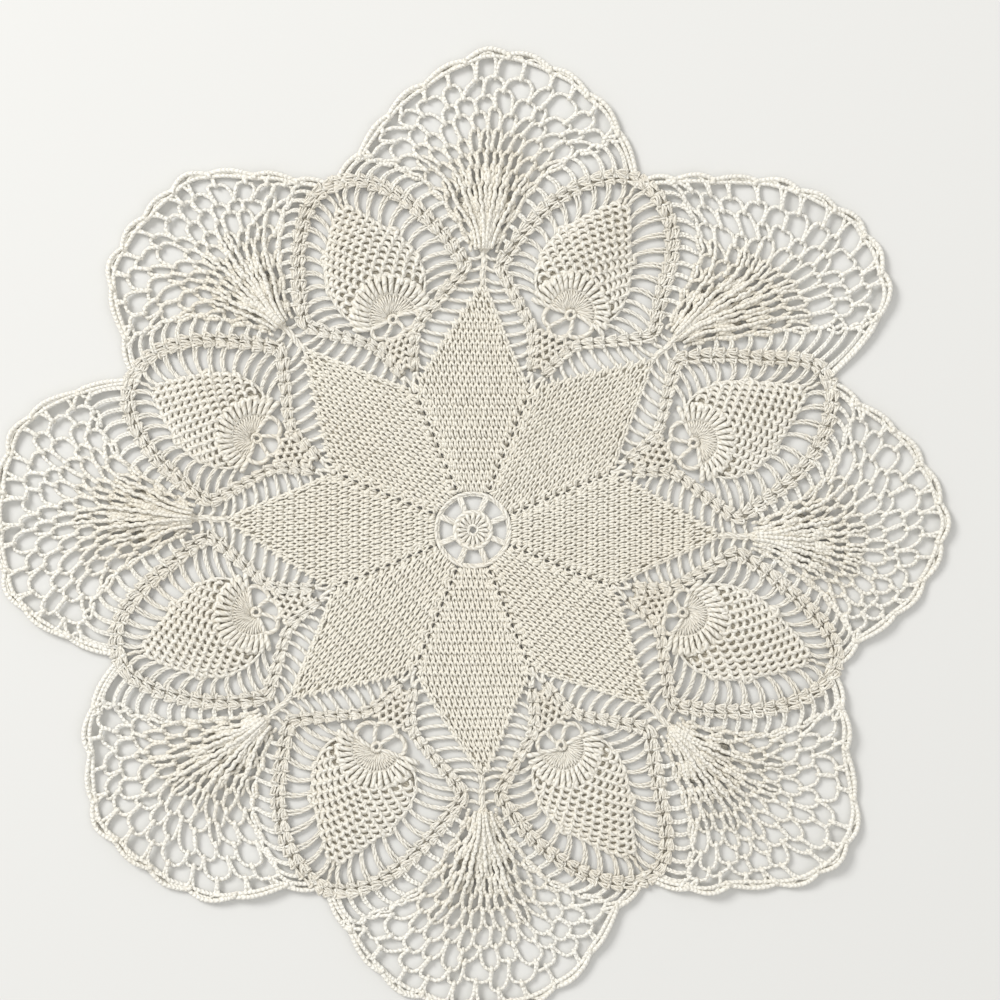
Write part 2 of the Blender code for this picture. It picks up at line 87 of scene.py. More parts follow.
# The knotted line on one side of a lobe, from the star to the notch; the other one mirrors it.
Knot = namedtuple("Knot", "angle radius")
KNOTTED_LINE = (
    Knot(20.3, 93.5),
    Knot(18.0, 107.5),
    Knot(15.6, 117.0),
    Knot(10.8, 126.5),
    Knot(6.9, 136.0),
    Knot(4.0, 146.0),
    Knot(5.6, 155.5),
    Knot(8.8, 171.0),
    Knot(11.9, 186.0),
    Knot(15.4, 200.5),
    Knot(19.0, 210.5),
    Knot(22.5, 214.5),
)
KNOT_ANGLES = np.array([knot.angle for knot in KNOTTED_LINE])
KNOT_RADII = np.array([knot.radius for knot in KNOTTED_LINE])
FAN_START = 5.6            # the place on the knotted line where a fan begins, counted in knots
NOTCH_PLACE = len(KNOTTED_LINE) - 1

FAN_COLUMNS = 14
NET_COLUMNS = FAN_COLUMNS - 2      # the outermost column on each side is a ladder of bars
NET_SHARE = NET_COLUMNS / FAN_COLUMNS
NET_SIDE = 0.96
NET_ROWS = 12
NET_ROW_GROWTH = 1.35
FOOT_GATHERED = 0.24       # how close the net's middle loops stand at a fan's foot: 1 is evenly spaced
FOOT_ENDS = 0.30
GATHERED = 0.62            # and in the gathers past the foot
GATHER_ENDS = 0.3
LOOSE_FROM = 0.9
AXIS_SETTLES = 0.8         # by this place out a fan's middle has turned as far as its edge


def mix(a, b, share):
    return a + (b - a) * share


def ease(value, low, high):
    """0 below low and 1 above high, with a soft step between."""
    share = np.clip((value - low) / (high - low), 0, 1)
    return share * share * (3 - 2 * share)


def through(stations, place):
    """A smooth curve through evenly spaced stations, read at places counted in stations."""
    stations = np.asarray(stations, float)
    padded = np.concatenate([[2 * stations[0] - stations[1]], stations, [2 * stations[-1] - stations[-2]]])
    place = np.asarray(place, float)
    index = np.clip(np.floor(place).astype(int), 0, len(stations) - 2)
    share = place - index
    before, here, after, beyond = (padded[index + step] for step in range(4))
    slope_in = (after - before) * 0.5
    slope_out = (beyond - here) * 0.5
    return (
        here * (2 * share**3 - 3 * share**2 + 1)
        + slope_in * (share**3 - 2 * share**2 + share)
        + after * (3 * share**2 - 2 * share**3)
        + slope_out * (share**3 - share**2)
    )


def direction(angle):
    turn = np.radians(angle)
    return np.stack([np.cos(turn), np.sin(turn)], axis=-1)


def notch_angle(lobe):
    return (lobe + 0.5) * SECTOR + LIE[lobe % LOBES].notch


def edge_radius(lobe, across):
    lie = LIE[lobe]
    stations = (LIE[lobe - 1].reach, lie.r1, lie.r2, lie.r3, lie.r4, lie.r5, lie.r6, lie.r7, lie.reach)
    radius = through(stations, (across + 1) * 4)
    return radius - SCALLOP_NOTCH + SCALLOP_DEPTH * np.abs(np.sin(np.pi * SCALLOPS * (across + 1) / 2))


def edge_angle(lobe, across):
    return mix(notch_angle(lobe - 1), notch_angle(lobe), (across + 1) / 2)


def rim(lobe, across, inset):
    """A place beside the scalloped edge, inset from it toward the middle."""
    return direction(edge_angle(lobe, across)) * (edge_radius(lobe, across) - inset)[..., None]


def settled(lobe, angle, radius):
    """Where a place of the pattern really lies; its angle is counted from the lobe's axis."""
    angle, radius = np.broadcast_arrays(np.asarray(angle, float), np.asarray(radius, float))
    after, before = LIE[lobe % LOBES], LIE[(lobe - 1) % LOBES]
    pine_base = np.where(angle >= 0, after.pine_base, before.pine_base)
    notch = np.where(angle >= 0, after.notch, before.notch)
    reach = np.where(angle >= 0, after.reach, before.reach)
    toward_notch = np.abs(angle) * 2 / SECTOR
    outward = ease(radius, FAN_BASE, NOTCH)
    inward = ease(radius, STAR_HOLDS, PINEAPPLE_BASE)
    fan_turn = mix(after.fan_base * inward, after.fan_edge, outward)
    pine_turn = mix(pine_base * inward, notch, outward)
    turn = mix(fan_turn, pine_turn, ease(toward_notch, 0, 1))
    stretch = 1 + (reach / NOTCH - 1) * ease(radius, PINEAPPLE_BASE, NOTCH) * toward_notch
    return direction(lobe * SECTOR + angle + turn) * (radius * stretch)[..., None]


def laid(lobe, x, y):
    return settled(lobe, np.degrees(np.arctan2(x, y)), np.hypot(x, y))


# How far the foot of the pineapple after each lobe is pulled out of the pattern.
Foot = namedtuple("Foot", "out aside")
FOOT_LIES = (
    Foot(1.3, -0.5), Foot(0.7, -4.8), Foot(-5.6, -3.4), Foot(0.0, 0.0),
    Foot(-1.8, -3.2), Foot(1.4, -0.7), Foot(-1.3, -1.4), Foot(-5.4, -0.1),
)
FOOT_PULL_OUT = 48.0       # the pull has faded out at this distance outward of the foot,
FOOT_PULL_IN = 24.0        # at this one inward of it
FOOT_PULL_SIDE = 25.0      # and at this one to its side a share of it is left
FOOT_PULL_LEFT = 0.4


def pine_at(lobe, x, y):
    """A place of the pineapple after a lobe: x counter-clockwise of its axis, y outward from its foot."""
    x, y = np.broadcast_arrays(np.asarray(x, float), np.asarray(y, float))
    pull = (1 - ease(y, 0, FOOT_PULL_OUT)) * (1 - ease(-y, 0, FOOT_PULL_IN))
    pull = pull * mix(1, FOOT_PULL_LEFT, ease(np.abs(x), FOOT_PULL_SIDE / 2, FOOT_PULL_SIDE))
    x = x + FOOT_LIES[lobe % LOBES].aside * pull
    y = y + FOOT_LIES[lobe % LOBES].out * pull
    angle = np.degrees(np.arctan2(x, PINEAPPLE_BASE + y))
    radius = np.hypot(x, PINEAPPLE_BASE + y)
    this_side = settled(lobe, np.minimum(HALF_SECTOR + angle, HALF_SECTOR), radius)
    far_side = settled(lobe + 1, np.maximum(angle - HALF_SECTOR, -HALF_SECTOR), radius)
    return np.where((angle > 0)[..., None], far_side, this_side)


def knot_point(lobe, side, place):
    """A place on a knotted line, counted in knots from the star."""
    return settled(lobe, side * through(KNOT_ANGLES, place), through(KNOT_RADII, place))


def fan_point(lobe, across, out):
    """A place of a lobe's fan, between its two knotted lines and the scalloped rim."""
    across, out = np.broadcast_arrays(np.asarray(across, float), np.asarray(out, float))
    place = mix(FAN_START, NOTCH_PLACE, out)
    left = knot_point(lobe, -1, place)
    right = knot_point(lobe, 1, place)
    axis = lobe * SECTOR + mix(LIE[lobe].fan_base, LIE[lobe].fan_edge, ease(out, 0, AXIS_SETTLES))
    span = notch_angle(lobe) - notch_angle(lobe - 1)
    edge_across = 2 * (axis - notch_angle(lobe - 1)) / span - 1
    edge_reach = edge_radius(lobe, edge_across) - EDGING
    middle = direction(axis) * mix(FAN_BASE, edge_reach, out)[..., None]

    def row(left, middle, right):
        a = across[..., None]
        return left * (a**2 - a) / 2 + middle * (1 - a**2) + right * (a**2 + a) / 2

    rim_left = direction(notch_angle(lobe - 1)) * (LIE[lobe - 1].reach - EDGING)
    rim_right = direction(notch_angle(lobe)) * (LIE[lobe].reach - EDGING)
    rim_middle = direction(axis) * edge_reach[..., None]
    past_chord = rim(lobe, across, EDGING) - row(rim_left, rim_middle, rim_right)
    return row(left, middle, right) + past_chord * (out**2)[..., None]


def spread(across, out):
    """Moves places across a fan toward its middle, where its net is gathered."""
    even = mix(FOOT_GATHERED, GATHERED, ease(out, 0, FOOT_ENDS))
    even = mix(even, 1, ease(out, GATHER_ENDS, LOOSE_FROM))
    return even * across + (1 - even) * across * np.abs(across) ** 3


def net_side(across, out):
    """Where across the fan a place across its net lies."""
    return NET_SIDE * spread(NET_SHARE * across, out)


def lift(points):
    """How far the rim's waves raise the cloth at each point."""
    angle = np.degrees(np.arctan2(points[..., 1], points[..., 0]))
    radius = np.hypot(points[..., 0], points[..., 1])
    raised = np.zeros(radius.shape)
    for lobe in range(LOBES):
        start = notch_angle(lobe - 1)
        across = 2 * ((angle - start) % 360) / (notch_angle(lobe) - start) - 1
        within = np.abs(across) <= 1
        across = np.clip(across, -1, 1)
        inside = edge_radius(lobe, across) - radius
        wave = 0.5 - 0.5 * np.cos(np.pi * RIM_WAVES * (across + 1))
        here = LIE[lobe].lift * wave * (1 - ease(inside, 0, RIM_WAVE_DEPTH))
        raised = np.where(within, np.maximum(raised, here), raised)
    return raised


# ---- Meshes ----
END_BULGE = 0.5            # how far a strand's closed ends stand out, in radii
STRAND_STARTS = 50.0       # each strand's texture starts at a place of its own within this length
PATCH_UV = (0.2, 1.0)
TINY = 1e-6

Profile = namedtuple("Profile", "height radius")


def profile(height, radius):
    """A strand's height and radius, at even steps along it."""
    return Profile(np.array(height), np.array(radius))


def scattered(shape, amount):
    return rng.uniform(-amount, amount, shape)


def strand_skin(path, radius, sides):
    """The points of each strand: a ring at each step, then the tips of its two ends."""
    ahead = np.gradient(path, axis=1)
    ahead /= np.maximum(np.linalg.norm(ahead, axis=-1, keepdims=True), TINY)
    side = np.cross(ahead, (0.0, 0.0, 1.0))
    side /= np.maximum(np.linalg.norm(side, axis=-1, keepdims=True), TINY)
    up = np.cross(side, ahead)
    turn = 2 * np.pi * np.arange(sides) / sides
    ring = side[:, :, None] * np.cos(turn)[:, None] + up[:, :, None] * np.sin(turn)[:, None]
    skin = path[:, :, None] + ring * radius[:, :, None, None]
    start = path[:, 0] - ahead[:, 0] * radius[:, :1] * END_BULGE
    end = path[:, -1] + ahead[:, -1] * radius[:, -1:] * END_BULGE
    rings = skin.reshape(len(path), -1, 3)
    return np.concatenate([rings, start[:, None], end[:, None]], axis=1).reshape(-1, 3)


class Work:
    """Strands and patches of cotton, gathered into one mesh."""

    def __init__(self):
        self.points, self.quads, self.triangles = [], [], []
        self.quad_uv, self.triangle_uv, self.tan_and_shade_amounts = [], [], []
        self.count = 0

    def strands(self, flat, height, radius, sides=6, warm=0.0, loose=(0, 0)):
        """Round cords with closed ends: flat is (strands, steps, 2). Loose varies their height and radius."""
        number, steps = flat.shape[:2]
        up, thick = (scattered((number, 1), amount) if amount else 0 for amount in loose)
        height = np.broadcast_to(height + up, (number, steps)) + lift(flat)
        radius = np.broadcast_to(radius * (1 + thick), (number, steps))
        path = np.concatenate([flat, height[..., None]], axis=-1)
        each = steps * sides + 2
        self.points.append(strand_skin(path, radius, sides))
        self.strand_faces(number, steps, sides, each)
        self.strand_uv(path, sides)
        self.tan_and_shade_amounts.append(np.full(number * each, float(warm)))
        self.count += number * each

    def strand_faces(self, number, steps, sides, each):
        first = self.count + np.arange(number)[:, None, None] * each
        k = np.arange(sides)[None, None, :]
        after = (k + 1) % sides
        here = first + np.arange(steps - 1)[None, :, None] * sides
        there = here + sides
        quads = np.broadcast_arrays(here + k, there + k, there + after, here + after)
        self.quads.append(np.stack(quads, axis=-1).reshape(-1, 4))
        first, k, after = first[:, 0], k[:, 0], after[:, 0]
        last = first + (steps - 1) * sides
        start_cap = np.broadcast_arrays(first + each - 2, first + k, first + after)
        end_cap = np.broadcast_arrays(first + each - 1, last + after, last + k)
        caps = np.concatenate([np.stack(start_cap, axis=-1), np.stack(end_cap, axis=-1)], axis=1)
        self.triangles.append(caps.reshape(-1, 3))

    def strand_uv(self, path, sides):
        """U goes once round each strand, and V along it in millimetres."""
        number, steps = path.shape[:2]
        length = np.linalg.norm(np.diff(path, axis=1), axis=-1).cumsum(axis=1)
        length = np.concatenate([np.zeros((number, 1)), length], axis=1)
        length = length + rng.uniform(0, STRAND_STARTS, (number, 1))
        here = np.broadcast_to(length[:, :-1, None], (number, steps - 1, sides))
        there = np.broadcast_to(length[:, 1:, None], (number, steps - 1, sides))
        around = np.broadcast_to(np.arange(sides) / sides, here.shape)
        beyond = around + 1 / sides
        corners = ((around, here), (around, there), (beyond, there), (beyond, here))
        uv = np.stack([np.stack(corner, axis=-1) for corner in corners], axis=-2)
        self.quad_uv.append(uv.reshape(-1, 2))
        caps = np.repeat(length[:, [0, -1]], sides, axis=1)
        cap_uv = np.stack([np.full(caps.shape, 0.5), caps], axis=-1).reshape(-1, 1, 2)
        self.triangle_uv.append(np.repeat(cap_uv, 3, axis=1).reshape(-1, 2))

    def patch(self, flat, height, thickness, warm=0.0):
        """A thin closed shell: flat is a (rows, columns, 2) grid of places."""
        rows, columns = flat.shape[:2]
        top = np.broadcast_to(height, (rows, columns)) + lift(flat)
        upper = np.concatenate([flat, top[..., None]], axis=-1)
        lower = np.concatenate([flat, (top - thickness)[..., None]], axis=-1)
        points = np.concatenate([upper.reshape(-1, 3), lower.reshape(-1, 3)])
        under = rows * columns
        index = np.arange(under).reshape(rows, columns)
        faces = np.stack([index[:-1, :-1], index[:-1, 1:], index[1:, 1:], index[1:, :-1]], axis=-1)
        faces = faces.reshape(-1, 4)
        if np.cross(upper[0, 1] - upper[0, 0], upper[1, 0] - upper[0, 0])[2] < 0:
            faces = faces[:, ::-1]
        border = np.concatenate([index[0, :], index[1:, -1], index[-1, -2::-1], index[-2:0:-1, 0]])
        following = np.roll(border, -1)
        x, y = points[:, 0], points[:, 1]
        area = (x[border] * y[following] - x[following] * y[border]).sum()
        wall = np.stack([border, under + border, under + following, following], axis=-1)
        if area <= 0:
            wall = wall[:, ::-1]
        faces = np.concatenate([faces, faces[:, ::-1] + under, wall])
        self.points.append(points)
        self.quads.append(faces + self.count)
        self.quad_uv.append(points[faces.reshape(-1), :2] * PATCH_UV)
        self.tan_and_shade_amounts.append(np.full(2 * under, float(warm)))
        self.count += 2 * under

    def piece(self, name, material):
        """The mesh as an object of the scene, which rides on the doily's only body."""
        points = np.concatenate(self.points) * MM
        quads = np.concatenate(self.quads)
        triangles = np.concatenate([*self.triangles, np.zeros((0, 3), int)])
        corners = np.concatenate([quads.reshape(-1), triangles.reshape(-1)])
        starts = np.concatenate([np.arange(len(quads)) * 4, len(quads) * 4 + np.arange(len(triangles)) * 3])
        uv = np.concatenate([*self.quad_uv, *self.triangle_uv])
        mesh = bpy.data.meshes.new(name)
        mesh.vertices.add(len(points))
        mesh.vertices.foreach_set("co", points.reshape(-1).astype(np.float32))
        mesh.loops.add(len(corners))
        mesh.loops.foreach_set("vertex_index", corners.astype(np.int32))
        mesh.polygons.add(len(starts))
        mesh.polygons.foreach_set("loop_start", starts.astype(np.int32))
        mesh.update(calc_edges=True)
        layer = mesh.uv_layers.new(name="strand")
        layer.data.foreach_set("uv", uv.reshape(-1).astype(np.float32))
        warm = mesh.attributes.new("warm", "FLOAT", "POINT")
        warm.data.foreach_set("value", np.concatenate(self.tan_and_shade_amounts).astype(np.float32))
        mesh.shade_smooth()
        mesh.materials.append(material)
        item = bpy.data.objects.new(name, mesh)
        bpy.context.scene.collection.objects.link(item)
        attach(item, "root")
        print(name, 2 * len(quads) + len(triangles), "triangles")
        return item


# ---- Cotton ----
TWIST_WANDER = 1.6
# the colour painted into the grooves between the plies: painted shade
PLY_GROOVE_SHADE = (0.66, 0.61, 0.52)


class Nodes:
    """The nodes of one new material."""

    def __init__(self, name):
        self.material = bpy.data.materials.new(name)
        self.material.use_nodes = True
        self.tree = self.material.node_tree
        self.shader = self.tree.nodes["Principled BSDF"]
        self.place = self.new("TexCoord").outputs["Object"]

    def new(self, kind):
        return self.tree.nodes.new("ShaderNode" + kind)

    def fill(self, socket, value):
        if isinstance(value, bpy.types.NodeSocket):
            self.tree.links.new(value, socket)
        else:
            socket.default_value = value

    def math(self, operation, *values):
        node = self.new("Math")
        node.operation = operation
        for socket, value in zip(node.inputs, values):
            self.fill(socket, value)
        return node.outputs[0]

    def noise(self, scale, detail):
        node = self.new("TexNoise")
        self.fill(node.inputs["Scale"], scale)
        self.fill(node.inputs["Detail"], detail)
        self.fill(node.inputs["Vector"], self.place)
        return node.outputs["Fac"]

    def specks(self, scale, detail, amount):
        """Noise about zero."""
        return self.math("MULTIPLY", self.math("SUBTRACT", self.noise(scale, detail), 0.5), amount)

    def blend(self, kind, second):
        """A node that mixes a colour into another."""
        node = self.new("Mix")
        node.data_type = "RGBA"
        node.blend_type = kind
        self.fill(node.inputs["B"], (*second, 1))
        return node


def ply_height(nodes, ply_pitch, plies, chevron):
    """The plies of the thread, twisted round each strand: 1 on a ply and 0 between two."""
    uv = nodes.new("UVMap")
    uv.uv_map = "strand"
    apart = nodes.new("SeparateXYZ")
    nodes.fill(apart.inputs[0], uv.outputs["UV"])
    around, along = apart.outputs[0], apart.outputs[1]
    if chevron:
        around = nodes.math("ABSOLUTE", nodes.math("SUBTRACT", around, 0.25))
    turns = nodes.math("ADD", nodes.math("MULTIPLY", around, plies), nodes.math("DIVIDE", along, ply_pitch))
    turns = nodes.math("ADD", turns, nodes.math("MULTIPLY", nodes.noise(scale=180, detail=1), TWIST_WANDER))
    return nodes.math("ABSOLUTE", nodes.math("SINE", nodes.math("MULTIPLY", turns, math.pi)))


def cotton(name, pale, tan, ply_pitch, plies, bump, groove_shade=0.5, chevron=False):
    """Mercerised cotton: a cream that wanders toward tan, with the thread's plies raised along the strand and
    painted shade in the grooves between them. On the close ground the tan is painted shade.
    """
    nodes = Nodes(name)
    shader = nodes.shader
    shader.inputs["Roughness"].default_value = 0.82
    shader.inputs["Sheen Weight"].default_value = 0.18
    shader.inputs["Sheen Roughness"].default_value = 0.5

    ply = ply_height(nodes, ply_pitch, plies, chevron)
    fuzz = nodes.math("MULTIPLY", nodes.noise(scale=2600, detail=3), 0.7)
    height = nodes.math("ADD", ply, fuzz)
    bumped = nodes.new("Bump")
    bumped.inputs["Strength"].default_value = bump
    bumped.inputs["Distance"].default_value = 0.0006
    nodes.fill(bumped.inputs["Height"], height)
    nodes.fill(shader.inputs["Normal"], bumped.outputs["Normal"])

    # Each point's amount of tan: a tone of the thread on the strands, and painted shade on the close ground.
    warm = nodes.new("Attribute")
    warm.attribute_name = "warm"
    drift = nodes.specks(scale=14, detail=3, amount=1.1)
    flecks = nodes.specks(scale=420, detail=2, amount=0.7)
    amount = nodes.new("Clamp")
    nodes.fill(amount.inputs[0], nodes.math("ADD", warm.outputs["Fac"], nodes.math("ADD", drift, flecks)))
    colour = nodes.blend("MIX", tan)
    nodes.fill(colour.inputs["A"], (*pale, 1))
    nodes.fill(colour.inputs["Factor"], amount.outputs[0])
    # painted shade: the colour is darkened between the plies
    groove_shaded = nodes.blend("MULTIPLY", PLY_GROOVE_SHADE)
    between = nodes.math("MULTIPLY", nodes.math("SUBTRACT", 1, ply), groove_shade)
    nodes.fill(groove_shaded.inputs["Factor"], between)
    nodes.fill(groove_shaded.inputs["A"], colour.outputs["Result"])
    nodes.fill(shader.inputs["Base Color"], groove_shaded.outputs["Result"])
    return nodes.material


thread = cotton("cotton thread", (0.90, 0.87, 0.785), (0.76, 0.69, 0.555),
                ply_pitch=4.2, plies=2, bump=0.9, groove_shade=0.45)
close_thread = cotton("close cotton thread", (0.83, 0.795, 0.70), (0.74, 0.675, 0.56),
                      ply_pitch=3.0, plies=1, bump=0.5, groove_shade=0.3)
chain = cotton("cotton chain", (0.92, 0.90, 0.83), (0.80, 0.745, 0.625),
               ply_pitch=2.6, plies=1.6, bump=0.75, groove_shade=0.35, chevron=True)
# The close ground's dark tan is painted shade, seen between the stitches above it.
shade_painted_backing = cotton("cotton close ground", (0.84, 0.81, 0.73), (0.60, 0.555, 0.45),
                 ply_pitch=1.7, plies=1, bump=0.9)


# ---- The diamonds ----
STITCH = 2.95              # across a diamond, from one stitch to the next
HALF_ROW = 2.975           # each row of stitches shows as a line of posts and a line of tops
STITCH_LEAN = 0.93         # how far each line is set over from the one before, counter-clockwise
DIAMOND_FIRST = 21.6
SEAM = 0.1                 # half of the gap between two diamonds
SEAM_STEP = 6.35           # from one small hole between two diamonds to the next
SEAM_FIRST = 5.0           # from the first round to the first of them
SLIT = 2.5                 # how far the stitches beside a small hole stand back from it
SLIT_LENGTH = 1.9
SLIT_REACH = (1.0, 5.0)    # this close to the seam they stand back in full, and this far from it not at all
TIP_CLEAR = 2.0
STITCH_MIDDLE = 1.2        # a stitch's middle stands this far out of the start of its line
SIDE_INSET = 0.45
NARROWEST = 1.0
TWIN_STEP = 0.2            # the second strand of a stitch lies higher than the first by twice this

Step = namedtuple("Step", "aside out up radius")
POST_STRAND = (
    Step(0.94, -0.6, 1.6, 0.56),
    Step(0.78, 0.7, 2.3, 0.74),
    Step(0.58, 2.0, 2.5, 0.78),
    Step(0.40, 3.3, 1.9, 0.62),
)
TOP_STRAND = (
    Step(0.28, -0.5, 1.7, 0.57),
    Step(0.54, 0.7, 2.6, 0.74),
    Step(1.00, 1.7, 2.6, 0.73),
    Step(1.40, 2.7, 1.8, 0.60),
)


def columns(steps):
    return (np.array(values, float) for values in zip(*steps))


def half_diamond(y, seam=SEAM):
    """Half of a diamond's width: it narrows to the tip, and below its shoulders it meets its neighbours."""
    return np.minimum(DIAMOND_SLOPE * (DIAMOND_TIP - y), y * math.tan(math.radians(HALF_SECTOR)) - seam)


def seam_holes():
    """How far from the middle of the cloth the small holes between two diamonds stand."""
    seam_ends = DIAMOND_SHOULDER / math.cos(math.radians(HALF_SECTOR))
    return np.arange(FIRST_ROUND_RADIUS + SEAM_FIRST, seam_ends, SEAM_STEP)


def stitches(line, half):
    """Where the stitches of a line stand across a diamond, with one at each of its ends."""
    number = max(1, round(2 * half / STITCH))
    lean = (line * STITCH_LEAN / STITCH) % 1
    x = (np.arange(number + 1) - lean - number / 2) * 2 * half / number
    between = x[np.abs(x) < half - STITCH / 2]
    return np.concatenate([[-half], between, [half]])


def stand_back(x, y):
    """How far the small holes along a diamond's sides push a place beside them toward its middle."""
    turn = math.radians(HALF_SECTOR)
    along = x * math.sin(turn) + y * math.cos(turn)
    beside = np.abs(y * math.sin(turn) - x * math.cos(turn))
    nearest = np.abs(along[..., None] - seam_holes()).min(axis=-1)
    return SLIT * np.exp(-((nearest / SLIT_LENGTH) ** 2)) * (1 - ease(beside, *SLIT_REACH))


def diamond(work, lobe):
    """Lines of stitches in a leaning lattice; each stitch is two strands that part and close again."""
    lines = np.arange(round((DIAMOND_TIP - TIP_CLEAR - DIAMOND_FIRST) / HALF_ROW))
    for strand, chosen in ((POST_STRAND, lines[::2]), (TOP_STRAND, lines[1::2])):
        aside, out, up, radius = columns(strand)
        for line in chosen:
            y = DIAMOND_FIRST + HALF_ROW * line
            half = half_diamond(y + STITCH_MIDDLE) - SIDE_INSET
            if half < NARROWEST:
                continue
            x = stitches(line, half)[:, None]
            for twin in (-1, 1):
                swell = 1 + scattered(x.shape, 0.12)
                xs = x + twin * aside * swell + out * STITCH_LEAN / HALF_ROW
                xs = xs + scattered(xs.shape, 0.09)
                ys = y + out + scattered(x.shape, 0.3)
                xs = xs - np.sign(x) * stand_back(np.abs(xs), ys)
                flat = laid(lobe, xs, ys)
                work.strands(flat, up + TWIN_STEP * twin, radius, sides=5, loose=(0.18, 0.1))


# ---- The pineapples ----
FOOT_HOLE = 1.7
INNER_REACH = 11.8         # from the foot to where the inner round of posts ends
OUTER_REACH = 20.6
WHEEL_SPREAD = 97          # the posts stand up to this far to each side of the axis
RIDGE_STEPS = 54
Round = namedtuple("Round", "number start end lean loose sides warm shape")
INNER_ROUND = Round(
    26, FOOT_HOLE + 0.7, INNER_REACH + 0.4, 0.0, 0.1, 5, 0.35,
    profile((0.8, 1.4, 1.8, 2.0, 2.0, 1.5), (0.4, 0.5, 0.58, 0.66, 0.74, 0.7)),
)
OUTER_ROUND = Round(
    19, INNER_REACH + 0.2, OUTER_REACH + 1.6, 0.07, 0.15, 6, 0.15,
    profile((1.1, 2.0, 2.5, 2.6, 2.6, 2.4, 1.7), (0.9, 1.24, 1.3, 1.36, 1.46, 1.6, 1.3)),
)

HUMP = 5.3                 # along a row, from one small arch to the next
HUMP_ROW = 3.3
HUMP_ROWS = 14
HUMP_SAG = 17.5            # how much nearer the foot the ends of the first row lie than its middle
SAG_EASE = 0.8
SAG_BEND = 2.2
ROW_STEPS = 81
MOST_HUMPS = 9             # on each side of a row's middle
HUMP_THICK = np.array((0.9, 1.22, 1.34, 1.32, 1.32, 1.34, 1.22, 0.9))
DOME = 1.9
Side = namedtuple("Side", "y half")
SIDES = (
    Side(-3.0, 11.0), Side(0.0, 16.5), Side(6.0, 22.5), Side(12.0, 24.8), Side(18.0, 25.5), Side(28.0, 25.0),
    Side(39.0, 20.6), Side(48.0, 15.2), Side(57.0, 9.2), Side(65.5, 3.2), Side(69.0, 0.8),
)


def pine_half(y):
    return np.interp(y, [side.y for side in SIDES], [side.half for side in SIDES])


def dome(x, y):
    """How far a pineapple stands up at a place."""
    across = np.clip(np.abs(x) / (pine_half(y) + 3), 0, 1)
    along = ease(y, -2, 20) * (1 - ease(y, 40, 72) * 0.75)
    return DOME * (1 - across**2) * along


def wheel_round(work, lobe, posts):
    """Posts that stand out from a pineapple's foot like the spokes of a wheel."""
    steps = len(posts.shape.height)
    turn = np.radians(np.linspace(-WHEEL_SPREAD, WHEEL_SPREAD, posts.number))
    turn = turn[:, None] + np.linspace(0, 1, steps) * posts.lean
    radii = np.linspace(posts.start, posts.end, steps)
    swing = np.sin(turn) * radii + scattered(turn.shape, posts.loose)
    rise = np.cos(turn) * radii + scattered(turn.shape, posts.loose)
    height = posts.shape.height + dome(swing, rise)
    work.strands(pine_at(lobe, -swing, rise), height, posts.shape.radius, sides=posts.sides, warm=posts.warm)


def hump_row(row):
    """A curve across a pineapple: x, y and the length walked along it, from its middle."""
    middle = OUTER_REACH + HUMP_ROW * (row - 0.2)
    sag = HUMP_SAG * (1 - row / (HUMP_ROWS - 1)) ** SAG_EASE
    share = np.linspace(-1, 1, ROW_STEPS)
    xs, ys = pine_half(middle - sag) * share, middle - sag * np.abs(share) ** SAG_BEND
    walked = np.concatenate([[0], np.hypot(np.diff(xs), np.diff(ys)).cumsum()])
    return xs, ys, walked - walked[-1] / 2


def pineapple(work, lobe):
    """A wheel of posts at the foot, then rows of small arches, each on the tops of the row before."""
    wheel_round(work, lobe, INNER_ROUND)
    ridge = np.radians(np.linspace(-WHEEL_SPREAD, WHEEL_SPREAD, RIDGE_STEPS))
    reach = INNER_REACH + 0.8 + 0.25 * np.where(np.arange(RIDGE_STEPS) % 2, 1, -1)
    swing, rise = np.sin(ridge) * reach, np.cos(ridge) * reach
    work.strands(pine_at(lobe, -swing, rise)[None], 1.6 + dome(swing, rise), 0.75, sides=5, warm=0.3)
    wheel_round(work, lobe, OUTER_ROUND)
    t = np.linspace(0, 1, len(HUMP_THICK))
    swing = -np.cos(np.pi * t)
    swing = np.sign(swing) * np.abs(swing) ** 0.85 * HUMP * 0.53
    arch = 1.8 + 0.9 * np.abs(2 * t - 1) ** 2 + 0.5 * (2 * t - 1)
    for row in range(HUMP_ROWS):
        xs, ys, walked = hump_row(row)
        centres = np.arange(-MOST_HUMPS, MOST_HUMPS + 1) * HUMP + HUMP / 2 * (row % 2)
        centres = centres[np.abs(centres) <= walked[-1] - HUMP * 0.3][:, None]
        spot = centres + swing + scattered(centres.shape, 0.3)
        x = np.interp(spot, walked, xs)
        y = np.interp(spot, walked, ys)
        tilt = np.interp(spot, walked, np.gradient(ys, walked))
        rise = np.sin(np.pi * t) ** 0.8 * (HUMP_ROW + 0.2) + scattered(centres.shape, 0.25)
        x = x - tilt * rise
        y = y + rise * np.sqrt(np.maximum(0.1, 1 - tilt**2))
        work.strands(pine_at(lobe, -x, y), arch + dome(x, y), HUMP_THICK, warm=0.1, loose=(0.2, 0.08))


# ---- The knotted lines, a shell of posts for every row ----
SHELL = 6.8                # along a knotted line, from one shell to the next
SHELL_NARROW = 0.74        # the width of the first shells, as a share of the last ones'
SHELL_WIDENS = (0.2, 0.5)  # between these shares of the line's length

